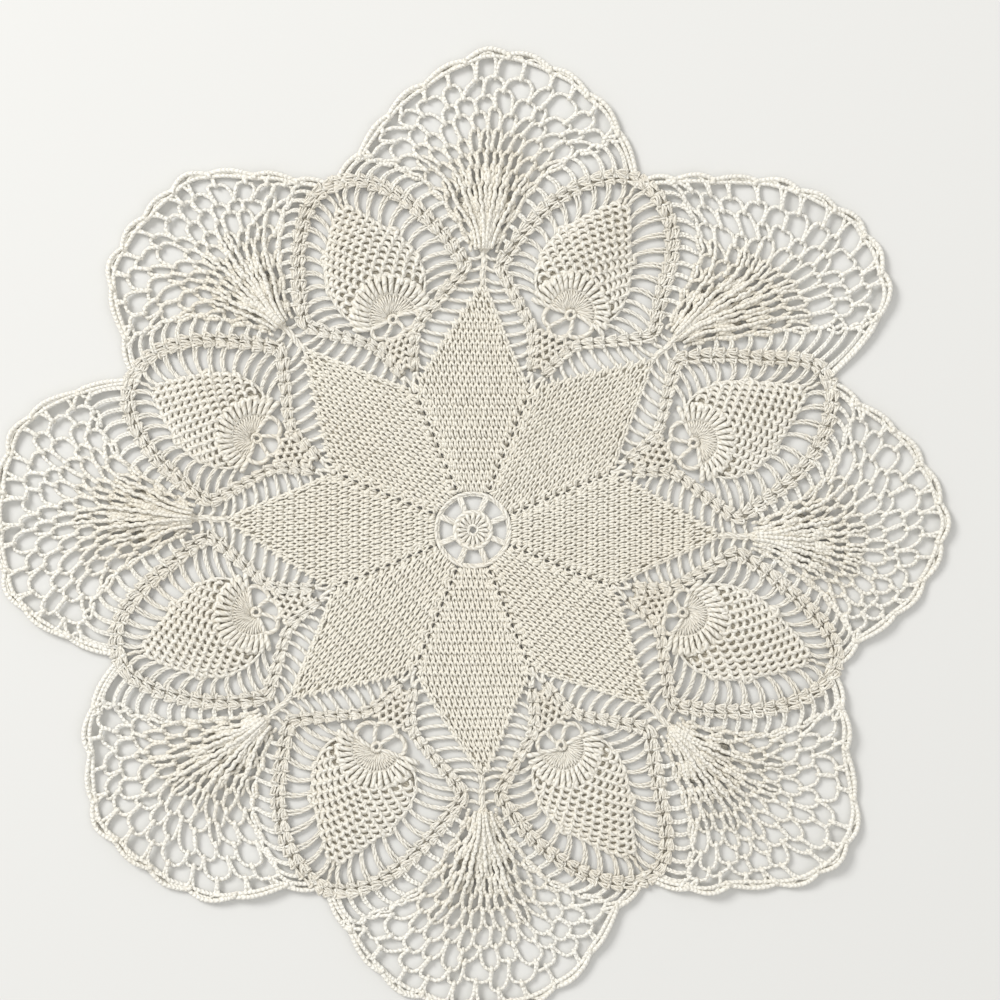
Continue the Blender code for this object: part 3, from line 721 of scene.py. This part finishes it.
Post = namedtuple("Post", "foot head")
SHELL_POSTS = (
    Post(-1.7, -3.9), Post(-0.9, -2.3), Post(0.0, -0.8), Post(0.9, 1.0), Post(1.6, 2.5), Post(2.2, 3.9),
)
SHELL_POST = profile((1.3, 2.2, 2.6, 2.6, 2.0), (0.55, 0.75, 0.82, 0.82, 0.65))
Top = namedtuple("Top", "first last out crest height")
SHELL_TOPS = (Top(-4.6, -1.2, 6.4, 0.4, 2.3), Top(1.2, 4.6, 6.4, 0.4, 2.3))
SHELL_TOP_THICK = np.array((0.6, 0.8, 0.8, 0.6))
SHELL_HOLE = 1.9           # how far the feet of a shell's inner posts are pushed aside
LINE_STEPS = 241


def line_reader(lobe, side):
    """A function at(along, beside) that gives places of a knotted line by length, and its whole length."""
    points = knot_point(lobe, side, np.linspace(0, NOTCH_PLACE, LINE_STEPS))
    walked = np.concatenate([[0], np.linalg.norm(np.diff(points, axis=0), axis=1).cumsum()])
    ahead = np.gradient(points, axis=0)
    ahead /= np.linalg.norm(ahead, axis=1, keepdims=True)

    def read(values, along):
        return np.stack([np.interp(along, walked, values[:, axis]) for axis in (0, 1)], axis=-1)

    def at(along, beside):
        way = read(ahead, along)
        left = np.stack([-way[..., 1], way[..., 0]], axis=-1)
        return read(points, along) + left * np.asarray(beside)[..., None]

    return at, walked[-1]


def shell_width(share):
    """The width of a knotted line at a share of its length, against its full width."""
    return mix(SHELL_NARROW, 1, ease(share, *SHELL_WIDENS))


def knotted_line(work, lobe, side):
    """Shells in a row: each is a fan of posts with two tops over it."""
    place, length = line_reader(lobe, side)

    def at(along, beside):
        return place(along, beside * shell_width(along / length))

    number = round(length / SHELL)
    pitch = length / number
    start = (np.arange(number) * pitch)[:, None]
    share = np.linspace(0, 1, len(SHELL_POST.height))
    for post in SHELL_POSTS:
        aside = mix(post.foot, post.head, np.sin(share * np.pi / 2) ** 1.1)
        beside_hole = abs(post.foot) < 1
        aside = aside + math.copysign(SHELL_HOLE, post.foot + 0.01) * (1 - share) ** 3 * beside_hole
        beside = aside + scattered((number, len(share)), 0.2)
        along = start + mix(0.2, pitch + 0.5, share) + scattered((number, 1), 0.4)
        flat = at(np.clip(along, 0, length), beside)
        work.strands(flat, *SHELL_POST, sides=5, warm=0.2, loose=(0.4, 0.12))
    t = np.linspace(-1, 1, len(SHELL_TOP_THICK))
    for top in SHELL_TOPS:
        beside = mix(top.first, top.last, (t + 1) / 2) + scattered((number, 1), 0.3)
        along = start + top.out + top.crest * (1 - t**2) + scattered((number, 1), 0.35)
        flat = at(np.clip(along, 0, length), beside)
        height = top.height + 0.7 * (1 - t**2)
        work.strands(flat, height, SHELL_TOP_THICK, sides=5, warm=0.2, loose=(0.25, 0))


# ---- Single chains and rungs ----
Rung = namedtuple("Rung", "gap bow wander ends middle radius steps sides warm")
LADDER_RUNG = Rung(2.4, 1.0, 0.25, 1.8, 1.4, radius=1.15, steps=9, sides=6, warm=0.0)
SPINE_RUNG = Rung(3.2, 0.8, 0.25, 1.6, 1.3, radius=1.1, steps=7, sides=6, warm=0.1)
SIDE_RUNG = Rung(3.6, 1.7, 0.15, 2.1, 1.5, radius=0.86, steps=7, sides=5, warm=0.1)


def short_of(start, end, gap):
    """The end points, moved back toward the start points by a gap."""
    along = end - start
    length = np.linalg.norm(along, axis=-1, keepdims=True)
    return start + along * (1 - gap / length)


def chains(work, start, end, rung, side):
    """Chains from start points to just short of end points, bowed to their left where side is 1."""
    start, end = np.atleast_2d(start), np.atleast_2d(short_of(start, end, rung.gap))
    number = len(start)
    t = np.linspace(0, 1, rung.steps)
    along = end - start
    beside = np.stack([-along[:, 1], along[:, 0]], axis=-1)
    beside /= np.maximum(np.linalg.norm(beside, axis=1, keepdims=True), TINY)
    swell = 4 * t * (1 - t)
    bow = side * rung.bow + scattered(number, rung.wander)
    flat = start[:, None] + along[:, None] * t[:, None] + beside[:, None] * (bow[:, None] * swell)[..., None]
    kink = scattered((number, rung.steps), 0.1)
    kink[:, [0, -1]] = 0
    flat = flat + beside[:, None] * kink[..., None]
    height = mix(rung.ends, rung.middle, swell)
    beads = 1 + 0.05 * np.sin(np.arange(rung.steps) * 2.1)
    work.strands(flat, height, rung.radius * beads, sides=rung.sides, warm=rung.warm, loose=(0.1, 0.06))


LADDER_RUNGS = 10
LADDER_TOP = 133.2         # how far out the first rung leaves the diamond
LADDER_PLACE = 3.85        # where it meets the knotted line, in knots
LADDER_STEP = 0.5          # and how much nearer the star each next one meets it
LADDER_FIRST_PLACE = 0.1
RUNG_SET_IN = 0.6
SHORTEST_RUNG = 5
SLOPE = (82, 136)          # the chain along a diamond's side, from and to this far out
SLOPE_STEPS = 12


def ladder(work, lobe, side):
    """The rungs from one side of a diamond to the knotted line beside it, and the chain along that side."""
    rung = np.arange(LADDER_RUNGS)
    y = LADDER_TOP - rung * ROW
    inner = laid(lobe, side * (np.maximum(RUNG_SET_IN, half_diamond(y)) - RUNG_SET_IN), y)
    outer = knot_point(lobe, side, np.maximum(LADDER_PLACE - rung * LADDER_STEP, LADDER_FIRST_PLACE))
    keep = np.linalg.norm(outer - inner, axis=1) > SHORTEST_RUNG
    chains(work, inner[keep], outer[keep], LADDER_RUNG, side)
    y = np.linspace(*SLOPE, SLOPE_STEPS)
    slope = laid(lobe, side * half_diamond(y), y)
    work.strands(slope[None], 1.8, 0.8, warm=0.1)


SPINE = (135.5, 157)
SPINE_STEPS = 9
Cord = namedtuple("Cord", "aside height radius")
SPINE_CORDS = (Cord(-1.0, 1.6, 0.8), Cord(1.0, 1.6, 0.8), Cord(0.1, 2.1, 0.9))
FOOT_KNOT = ((-1.9, 1.9), (0.0, 2.4), (1.9, 1.9))
FOOT_KNOT_OUT = np.array((-2.2, -0.8, 1.0, 2.8, 4.4))
FOOT_KNOT_SPREAD = np.array((0.3, 0.7, 1.0, 1.3, 1.7))
FOOT_KNOT_THICK = np.array((0.9, 1.35, 1.5, 1.4, 0.9))
SPINE_RUNGS = ((138.5, 4.1), (145.3, 4.7), (151.5, 5.4))      # how far out, and to which place of the line


def spine(work, lobe):
    """The post between a diamond's tip and its fan, the knot at the fan's foot and the rungs beside it."""
    y = np.linspace(*SPINE, SPINE_STEPS)
    for cord in SPINE_CORDS:
        flat = laid(lobe, cord.aside + 0.4 * np.sin(y * 0.5), y)
        work.strands(flat[None], cord.height, cord.radius, warm=0.15)
    for aside, height in FOOT_KNOT:
        flat = laid(lobe, aside * FOOT_KNOT_SPREAD, FAN_BASE + FOOT_KNOT_OUT)
        work.strands(flat[None], height, FOOT_KNOT_THICK, warm=0.3)
    for side in (-1, 1):
        for y, place in SPINE_RUNGS:
            chains(work, laid(lobe, side * 1.2, y), knot_point(lobe, side, place), SPINE_RUNG, side)


RUNGS = 12
RUNG_ROOTS = (1.0, 66.0)   # the first and the last rung leave the pineapple this far from its foot
RUNG_PLACES = (4.15, 10.45)
RUNG_CROWDING = 0.95
RUNG_SPLIT = 0.062         # half of how far apart a rung's two strands meet the knotted line, in knots
RUNG_SLANT = 5             # millimetres along the pineapple for each knot of that split
SIDE_CHAIN = (-2, 68.5)
STEM = (66, 78)


def side_rungs(work, lobe):
    """The chain along each side of a pineapple, and its rungs to the knotted lines."""
    share = np.linspace(0, 1, RUNGS)
    for side in (-1, 1):
        line_lobe = lobe if side < 0 else (lobe + 1) % LOBES
        y = mix(*RUNG_ROOTS, share) + scattered(RUNGS, 0.5)
        place = mix(*RUNG_PLACES, share**RUNG_CROWDING) + scattered(RUNGS, 0.04)
        for split in (-RUNG_SPLIT, RUNG_SPLIT):
            root = y + RUNG_SLANT * split
            inner = pine_at(lobe, side * (pine_half(root) + 0.8), root)
            chains(work, inner, knot_point(line_lobe, -side, place + split), SIDE_RUNG, -side)
        y = np.linspace(*SIDE_CHAIN, 40)
        edge = pine_at(lobe, side * (pine_half(y) + 0.6), y)
        work.strands(edge[None], 2.3, 0.85, warm=0.1)
    y = np.linspace(*STEM, 6)
    work.strands(pine_at(lobe, 0.5 * np.sin(y), y)[None], 1.8, 1.0, warm=0.3)


PETAL_EDGES = np.array((-84, -29, 25, 78))
PETAL_FAR = 13.6
PETAL_BULGE = 2.4
PETAL_POST = profile((1.5, 1.9, 2.1, 2.1, 2.1, 2.1, 2.3, 2.4), (0.8, 1.05, 1.15, 1.2, 1.2, 1.2, 1.25, 1.0))
FOOT_LOOP = 2.2
Fill = namedtuple("Fill", "y half")
PARTING_FILL = (
    Fill(-17.0, 11.0), Fill(-20.6, 8.5), Fill(-24.2, 6.0),
    Fill(-27.8, 5.0), Fill(-31.4, 3.6), Fill(-35.0, 3.0),
)
FILL_STITCH = 4.6
FILL_THICK = np.array((0.8, 1.1, 1.2, 1.2, 1.1, 0.8))


def petals(work, lobe):
    """The ring at a pineapple's foot, the rungs below it and the close stitches where two lines part."""

    def below(reach, bearing):
        return pine_at(lobe, reach * np.sin(bearing), -reach * np.cos(bearing))

    turn = np.radians(np.linspace(0, 360, 15))
    foot = pine_at(lobe, FOOT_LOOP * np.sin(turn), -FOOT_LOOP * 0.6 + FOOT_LOOP * 1.1 * np.cos(turn))
    work.strands(foot[None], 1.9, 1.15, warm=0.4)
    edges, steps = len(PETAL_EDGES), len(PETAL_POST.height)
    bearing = np.radians(PETAL_EDGES)[:, None] + np.linspace(-0.06, 0.1, steps)
    bearing = bearing + scattered((edges, steps), 0.02)
    reach = np.linspace(FOOT_LOOP + 0.4, PETAL_FAR, steps)
    work.strands(below(reach, bearing), *PETAL_POST, warm=0.2)
    t = np.linspace(0, 1, 9)
    bearing = np.radians(mix(PETAL_EDGES[:-1, None], PETAL_EDGES[1:, None], t)) + 0.1
    reach = PETAL_FAR - 1.0 + PETAL_BULGE * np.sin(np.pi * t) ** 0.7 + scattered((edges - 1, 1), 0.3)
    work.strands(below(reach, bearing), 1.8 + 0.5 * np.abs(2 * t - 1), 1.3, warm=0.3)
    t = np.linspace(-1, 1, len(FILL_THICK))
    for fill in PARTING_FILL:
        count = max(1, round(2 * fill.half / FILL_STITCH))
        centres = (np.arange(count) + 0.5 - count / 2) * 2 * fill.half / count
        x = centres[:, None] + t * fill.half / count * 1.15 + scattered((count, 1), 0.3)
        y = fill.y + 3.2 * (1 - np.abs(t) ** 1.6) - 1.0 + scattered((count, 1), 0.35)
        work.strands(pine_at(lobe, x, y), 2.0 + 0.7 * np.abs(t), FILL_THICK, warm=0.35, loose=(0.3, 0))


# ---- The fans' chain net ----
NET_CHAIN = 1.1
GATHERED_CHAIN = 1.08
LONG_STRAND = 1.15
LONG_ROWS = (2, 4)         # a long strand of the gathers crosses from this to that many pairs of rows
LONG_STEPS = 30
LONG_CRINKLE = 0.6
LONG_STRAIGHT = 0.3        # up to this place out the long strands are pulled nearly straight
KNOTS_FROM_ROW = 4         # nearer the foot the strands hide the knots
NET_WOBBLE = 0.22
CRINKLE = 0.85
CRINKLES = 17.0            # waves of a gathered strand from a fan's foot to its rim
PLEAT = 2.3
PLEAT_COLUMNS = 1.5
PLEAT_HELD = (GATHER_ENDS * 0.7, LOOSE_FROM * 0.75)
PLEAT_SIDES = (0.7, 0.95)  # toward the net's sides the gathers lie flat
GATHERED_LIFT = 0.8
LOOSENS = (0.35, 0.75)     # the net turns from gathered to loose between these places out
ARCH_STEPS = 12
NET_KNOT = profile((1.2, 2.4, 2.4, 1.3), (0.9, 1.3, 1.3, 0.9))
NET_KNOT_OUT = np.array((-0.016, 0.0, 0.014, 0.026))


def net_row_out(row):
    """How far out a row of the net stands: the rows grow toward the rim."""
    share = row / NET_ROWS
    return mix(share, share**NET_ROW_GROWTH, 0.6)


def pleat(lobe, across, out):
    """How far the gathers lift the net, with across as in the even net."""
    fold = 0.5 + 0.5 * np.cos(2 * np.pi * across * NET_COLUMNS / 2 / PLEAT_COLUMNS + lobe)
    held = 1 - ease(out, *PLEAT_HELD)
    return PLEAT * fold * held * (1 - ease(np.abs(across), *PLEAT_SIDES)) + GATHERED_LIFT * held


def crinkled(out, number):
    """The waves of gathered strands, which lie nearly side by side: -1 to 1 at each place out."""
    return np.sin(2 * np.pi * CRINKLES * out + scattered((number, 1), 1.0))


def joints(row):
    """Where the loops of a row stand: on the tops of the row before, each a little off the even net."""
    columns = np.arange(NET_COLUMNS + 1 + row % 2) - 0.5 * (row % 2)
    even = np.clip(2 * columns / NET_COLUMNS - 1, -1, 1)
    out = net_row_out(row)
    loose = float(ease(out, *LOOSENS))
    inner = (np.abs(even) < 0.99) * (row < NET_ROWS)
    even = even + scattered(even.shape, mix(0.022, 0.036, loose)) * inner
    level = np.clip(out + scattered(even.shape, mix(0.01, 0.024, loose)) * inner, 0, 1)
    return even, level


def gathered_strands(work, lobe, rows):
    """Long crinkled strands over a fan's gathered rows, each through one joint of every other row."""
    taper = 1 - 0.35 * np.abs(np.linspace(-1, 1, LONG_STEPS)) ** 8
    fewest, most = LONG_ROWS
    for column in range(1, NET_COLUMNS):
        place = np.linspace(0, rng.integers(fewest, most + 1), LONG_STEPS)
        across, out = (through([row[axis][column] for row in rows[:NET_ROWS:2]], place) for axis in (0, 1))
        crinkle = LONG_CRINKLE * ease(out, 0, LONG_STRAIGHT) * crinkled(out[None], 1)[0]
        flat = fan_point(lobe, net_side(across, out), out)
        flat = flat + crinkle[:, None] * direction(lobe * SECTOR + 90)
        height = 2.7 + pleat(lobe, across, out)
        work.strands(flat[None], height, LONG_STRAND * taper, sides=5, warm=0.35, loose=(0.4, 0))


def net_arches(work, lobe, row, here, above):
    """One row of arches: each goes from joint to joint, by way of the joint above it."""
    (even, level), (even_top, level_top) = here, above
    number = len(even) - 1
    top = slice(1 - row % 2, 1 - row % 2 + number)
    loose = float(ease(net_row_out(row), *LOOSENS))
    t = np.linspace(0, 1, ARCH_STEPS)
    zigzag = np.where(np.arange(ARCH_STEPS) % 2 == 0, 1, -1)
    swing = np.cos(np.pi * t)
    x = 0.5 - 0.5 * np.sign(swing) * np.abs(swing) ** mix(1.0, 0.7, loose)
    y = np.sin(np.pi * t) ** mix(1.0, 0.6, loose)
    start, end = even[:-1, None], even[1:, None]
    peak = even_top[top, None] - (start + end) / 2
    across = mix(start, end, 0.02 + 0.96 * x) + peak * y
    out = mix(level[:-1, None], level[1:, None], x)
    out = out + (level_top[top, None] - out) * y
    flat = fan_point(lobe, net_side(across, out), out)
    crinkle = crinkled(out, number)
    wobble = mix(CRINKLE * crinkle, NET_WOBBLE * zigzag, loose) * np.sin(np.pi * t)
    aside = lobe * SECTOR + 90 + scattered((number, 1), mix(15, 180, loose))
    flat = flat + wobble[..., None] * direction(aside)
    height = NET_CHAIN + 1.0 * np.abs(2 * t - 1) ** 3 + pleat(lobe, across, out)
    height = height + scattered((number, 1), mix(0.4, 0.1, loose))
    height = height + mix(0.4, 0, loose) * np.roll(crinkle, 1, 1)
    radius = mix(GATHERED_CHAIN, NET_CHAIN, ease(net_row_out(row), 0.3, 0.7)) * (1 + 0.09 * zigzag)
    work.strands(flat, height, radius, sides=5, warm=0.05 + 0.55 * (1 - loose), loose=(0, 0.08))


def net_knots(work, lobe, row, here):
    even, level = here
    loose = float(ease(net_row_out(row), *LOOSENS))
    spot = NET_KNOT_OUT * mix(1.3, 1.0, loose)
    across = np.repeat(even[1:-1, None], len(spot), 1)
    out = np.clip(level[1:-1, None] + spot, 0, 1)
    flat = fan_point(lobe, net_side(across, out), out)
    height = NET_KNOT.height + pleat(lobe, across, out)
    work.strands(flat, height, NET_KNOT.radius, sides=5, warm=0.15 + 0.3 * (1 - loose))


def fan(work, lobe):
    """Rows of chain arches, each standing on the tops of the row before, with a knot at each foot."""
    rows = [joints(row) for row in range(NET_ROWS + 1)]
    for row in range(NET_ROWS):
        net_arches(work, lobe, row, rows[row], rows[row + 1])
        if row >= KNOTS_FROM_ROW:
            net_knots(work, lobe, row, rows[row])
    gathered_strands(work, lobe, rows)


BARS = 11
BAR_STEPS = 8
BAR_BOW = 0.012
BAR_SPLIT = 0.009          # half of how far apart the two strands of a bar are at the knotted line
SIDE_WAVE = 0.03
NET_SIDE_OUT = (0.05, 0.985)
NET_SIDE_STEPS = 44


def side_bars(work, lobe, side):
    """The chain up the side of a fan's net, and its bars to the knotted line."""
    out = (np.arange(BARS)[:, None] + 1) / (BARS + 1) + scattered((BARS, 1), 0.008)
    t = np.linspace(0, 1, BAR_STEPS)
    across = side * mix(1, net_side(1, out), t)
    bowed = out + BAR_BOW * np.sin(np.pi * t)
    for split in (-BAR_SPLIT, BAR_SPLIT):
        bar = bowed + split * mix(1, 0.4, t) + scattered((BARS, BAR_STEPS), 0.0012)
        height = mix(2.0, 1.5, t) + scattered((BARS, 1), 0.15)
        radius = 0.84 * (1 + scattered((BARS, BAR_STEPS), 0.07))
        work.strands(fan_point(lobe, across, bar), height, radius, sides=5, warm=0.15)
    out = np.linspace(*NET_SIDE_OUT, NET_SIDE_STEPS)
    wave = SIDE_WAVE * np.abs(np.sin(np.pi * out * (BARS + 1)))
    flat = fan_point(lobe, side * (net_side(1, out) - wave), out)
    work.strands(flat[None], 1.6, 1.1 + scattered((1, NET_SIDE_STEPS), 0.08), warm=0.15)


# ---- The edging ----
EDGE_STEPS = 200
EDGE_BEAD = 0.07           # how much the thickness of its cords swells and shrinks
EDGE_KNOT = profile((1.4, 2.6, 2.8, 1.7), (0.9, 1.2, 1.2, 0.8))
EDGE_KNOT_INSET = np.array((0.6, 1.6, 3.0, 4.4))


def edging(work, lobe):
    """A cord round the scallops and a second one inside it, which part and meet again at each notch."""
    across = np.linspace(-1, 1, EDGE_STEPS)
    swing = np.abs(np.sin(np.pi * SCALLOPS * (across + 1) / 2))
    beads = 1 + EDGE_BEAD * np.where(np.arange(EDGE_STEPS) % 2, 1, -1)
    stations = 2 * SCALLOPS + 1
    loose = np.interp(across, np.linspace(-1, 1, stations), rng.uniform(-0.3, 0.9, stations))
    outer_cord = (1.3, 1.5 + 0.5 * swing, 1.3)
    inner_cord = (3.3 + (1.6 + loose) * swing, 1.3 + 0.5 * swing, 1.15)
    for inset, up, thick in (outer_cord, inner_cord):
        flat = rim(lobe, across, inset + scattered(EDGE_STEPS, 0.08))
        work.strands(flat[None], up, thick * beads, warm=0.12)
    notches = np.linspace(-1, 1, SCALLOPS + 1)[:-1, None]
    notches = notches + scattered((SCALLOPS, len(EDGE_KNOT_INSET)), 0.006)
    flat = rim(lobe, notches, EDGE_KNOT_INSET + scattered((SCALLOPS, 1), 0.3))
    work.strands(flat, *EDGE_KNOT, warm=0.3)


# ---- The centre ----
Circle = namedtuple("Circle", "radius height thick")
CIRCLES = (
    Circle(2.6, 1.6, 0.95),
    Circle(RING_RADIUS, 1.9, 1.25),
    Circle(RING_RADIUS - 1.3, 1.4, 0.9),
    Circle(FIRST_ROUND_RADIUS, 1.8, 1.05),
    Circle(FIRST_ROUND_RADIUS - 1.2, 1.3, 0.8),
)
CIRCLE_STEPS = 73
RING_POSTS = 16
RING_POST_FROM = 2.4
RING_POST = profile((1.3, 2.0, 2.3, 2.3, 2.2, 1.6), (0.45, 0.7, 0.95, 1.15, 1.25, 0.9))
SPOKE_LEANS = (-3.4, 0.0, 3.4)
SPOKE_HEIGHT = np.array((1.3, 1.9, 2.2, 2.2, 2.2, 1.9, 1.3))
SPOKE_THICK = 0.85


def centre(work):
    """The starting ring with its posts, the first round and the spokes between them."""
    circle = direction(np.linspace(0, 360, CIRCLE_STEPS))
    for ring in CIRCLES:
        work.strands((circle * ring.radius)[None], ring.height, ring.thick, sides=7, warm=0.1)
    turn = np.arange(RING_POSTS) * 360 / RING_POSTS
    radii = np.linspace(RING_POST_FROM, RING_RADIUS - 0.3, len(RING_POST.height))
    flat = direction(turn)[:, None] * radii[:, None]
    work.strands(flat, *RING_POST, warm=0.1)
    t = np.linspace(0, 1, len(SPOKE_HEIGHT))
    for lobe in range(LOBES):
        for lean in SPOKE_LEANS:
            turn = HALF_SECTOR + lean * (1.2 - 0.5 * t)
            flat = settled(lobe, turn, mix(RING_RADIUS, FIRST_ROUND_RADIUS, t))
            work.strands(flat[None], SPOKE_HEIGHT, SPOKE_THICK, warm=0.1)


# ---- The close ground under the worked parts, painted dark as shade ----
GROUND = 0.95
GROUND_THICK = 0.5
# How far the close ground is painted toward dark tan as shade.
SHADED = 0.8
LINE_HALF = 3.4
EDGE_GROUND = np.array((1.2, 2.0, 2.9))
EDGE_GROUND_STEPS = 90


def over(values, columns):
    return np.repeat(values[:, None], columns, 1)


def ground(work):
    """One patch under each diamond, pineapple, knotted line, parting, fan's foot and stretch of edging, its
    colour painted toward dark tan as the shade between the stitches.
    """
    for lobe in range(LOBES):
        y = np.linspace(FIRST_ROUND_RADIUS + 0.5, DIAMOND_TIP, 26)
        half = np.maximum(0.4, half_diamond(y, seam=0.4))
        x = half[:, None] * np.linspace(-1, 1, 9) * 0.999
        work.patch(laid(lobe, x, over(y, 9)), GROUND + 0.4, GROUND_THICK, warm=SHADED)
        y = np.concatenate([np.linspace(2.6, 12, 6), np.linspace(15, 69, 15)])
        x = pine_half(y)[:, None] * np.linspace(-1, 1, 11)
        y = over(y, 11)
        work.patch(pine_at(lobe, -x, y), 0.8 + dome(x, y), GROUND_THICK, warm=SHADED)
        for side in (-1, 1):
            at, length = line_reader(lobe, side)
            along = over(np.linspace(0, length, 45), 3)
            beside = np.array((-LINE_HALF, 0.0, LINE_HALF)) * shell_width(along / length)
            work.patch(at(along, beside), GROUND, GROUND_THICK, warm=0.7)
        y = np.array([fill.y for fill in PARTING_FILL])
        x = np.array([fill.half for fill in PARTING_FILL])[:, None] * np.linspace(-1, 1, 5)
        work.patch(pine_at(lobe, -x, over(y, 5)), GROUND, GROUND_THICK, warm=SHADED)
        across, out = np.broadcast_arrays(np.linspace(-0.8, 0.8, 15)[None], np.linspace(0.0, 0.3, 8)[:, None])
        work.patch(fan_point(lobe, net_side(across, out), out), 0.8, GROUND_THICK, warm=0.6)
        across = over(np.linspace(-1, 1, EDGE_GROUND_STEPS), len(EDGE_GROUND))
        inset = np.repeat(EDGE_GROUND[None], EDGE_GROUND_STEPS, 0)
        work.patch(rim(lobe, across, inset), 0.85, GROUND_THICK, warm=0.2)


# ---- All pieces ----
for name, lobes in (("east", range(0, 4)), ("west", range(4, 8))):
    diamonds, fans, knots = Work(), Work(), Work()
    for lobe in lobes:
        diamond(diamonds, lobe)
        fan(fans, lobe)
        for side in (-1, 1):
            knotted_line(knots, lobe, side)
            side_bars(fans, lobe, side)
    diamonds.piece(f"diamonds_{name}", close_thread)
    fans.piece(f"fan_net_{name}", chain)
    knots.piece(f"knotted_lines_{name}", thread)

crowns, rungs, rims = Work(), Work(), Work()
centre(rungs)
for lobe in range(LOBES):
    pineapple(crowns, lobe)
    spine(rungs, lobe)
    side_rungs(rungs, lobe)
    petals(rungs, lobe)
    edging(rims, lobe)
    for side in (-1, 1):
        ladder(rungs, lobe, side)
crowns.piece("pineapples", thread)
rungs.piece("rungs_and_centre", thread)
rims.piece("edging", chain)

cloth = Work()
ground(cloth)
close_ground = cloth.piece("close_ground", shade_painted_backing)
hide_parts("doily")

# ---- Floor, light and camera ----
FLOOR = 20.0               # half of its side, in metres
FLOOR_Z = -0.0004

floor_paint = bpy.data.materials.new("pale floor")
floor_paint.use_nodes = True
floor_shader = floor_paint.node_tree.nodes["Principled BSDF"]
floor_shader.inputs["Base Color"].default_value = (0.70, 0.695, 0.67, 1)
floor_shader.inputs["Roughness"].default_value = 0.9
floor_shader.inputs["Specular IOR Level"].default_value = 0.1
corners = [(x * FLOOR, y * FLOOR, FLOOR_Z) for x, y in ((-1, -1), (1, -1), (1, 1), (-1, 1))]
floor_mesh = bpy.data.meshes.new("floor")
floor_mesh.from_pydata(corners, [], [(0, 1, 2, 3)])
floor_mesh.materials.append(floor_paint)
floor = bpy.data.objects.new("floor", floor_mesh)
bpy.context.scene.collection.objects.link(floor)


def area_light(name, place, size, power):
    light = bpy.data.lights.new(name, "AREA")
    light.size = size
    light.energy = power
    item = bpy.data.objects.new(name, light)
    item.location = place
    item.rotation_euler = (-Vector(place)).to_track_quat("-Z", "Y").to_euler()
    bpy.context.scene.collection.objects.link(item)


area_light("key", (-2.4, 2.0, 2.6), size=1.4, power=118)
area_light("fill", (2.4, -1.2, 3.6), size=3.2, power=25)

world = bpy.data.worlds.new("studio")
world.use_nodes = True
world.node_tree.nodes["Background"].inputs["Color"].default_value = (1, 1, 1, 1)
world.node_tree.nodes["Background"].inputs["Strength"].default_value = 0.70
bpy.context.scene.world = world
bpy.context.scene.view_settings.view_transform = "Standard"

CAMERA = (14.9, 16.6)      # the picture's middle, from the doily's
VIEW_WIDTH = 553.0
LENS = 85
SENSOR = 36

camera_data = bpy.data.cameras.new("camera")
camera_data.lens = LENS
camera_data.sensor_width = SENSOR
camera_data.clip_start = 0.01
camera = bpy.data.objects.new("camera", camera_data)
camera.location = (CAMERA[0] * MM, CAMERA[1] * MM, VIEW_WIDTH * MM * LENS / SENSOR)
bpy.context.scene.collection.objects.link(camera)
bpy.context.scene.camera = camera
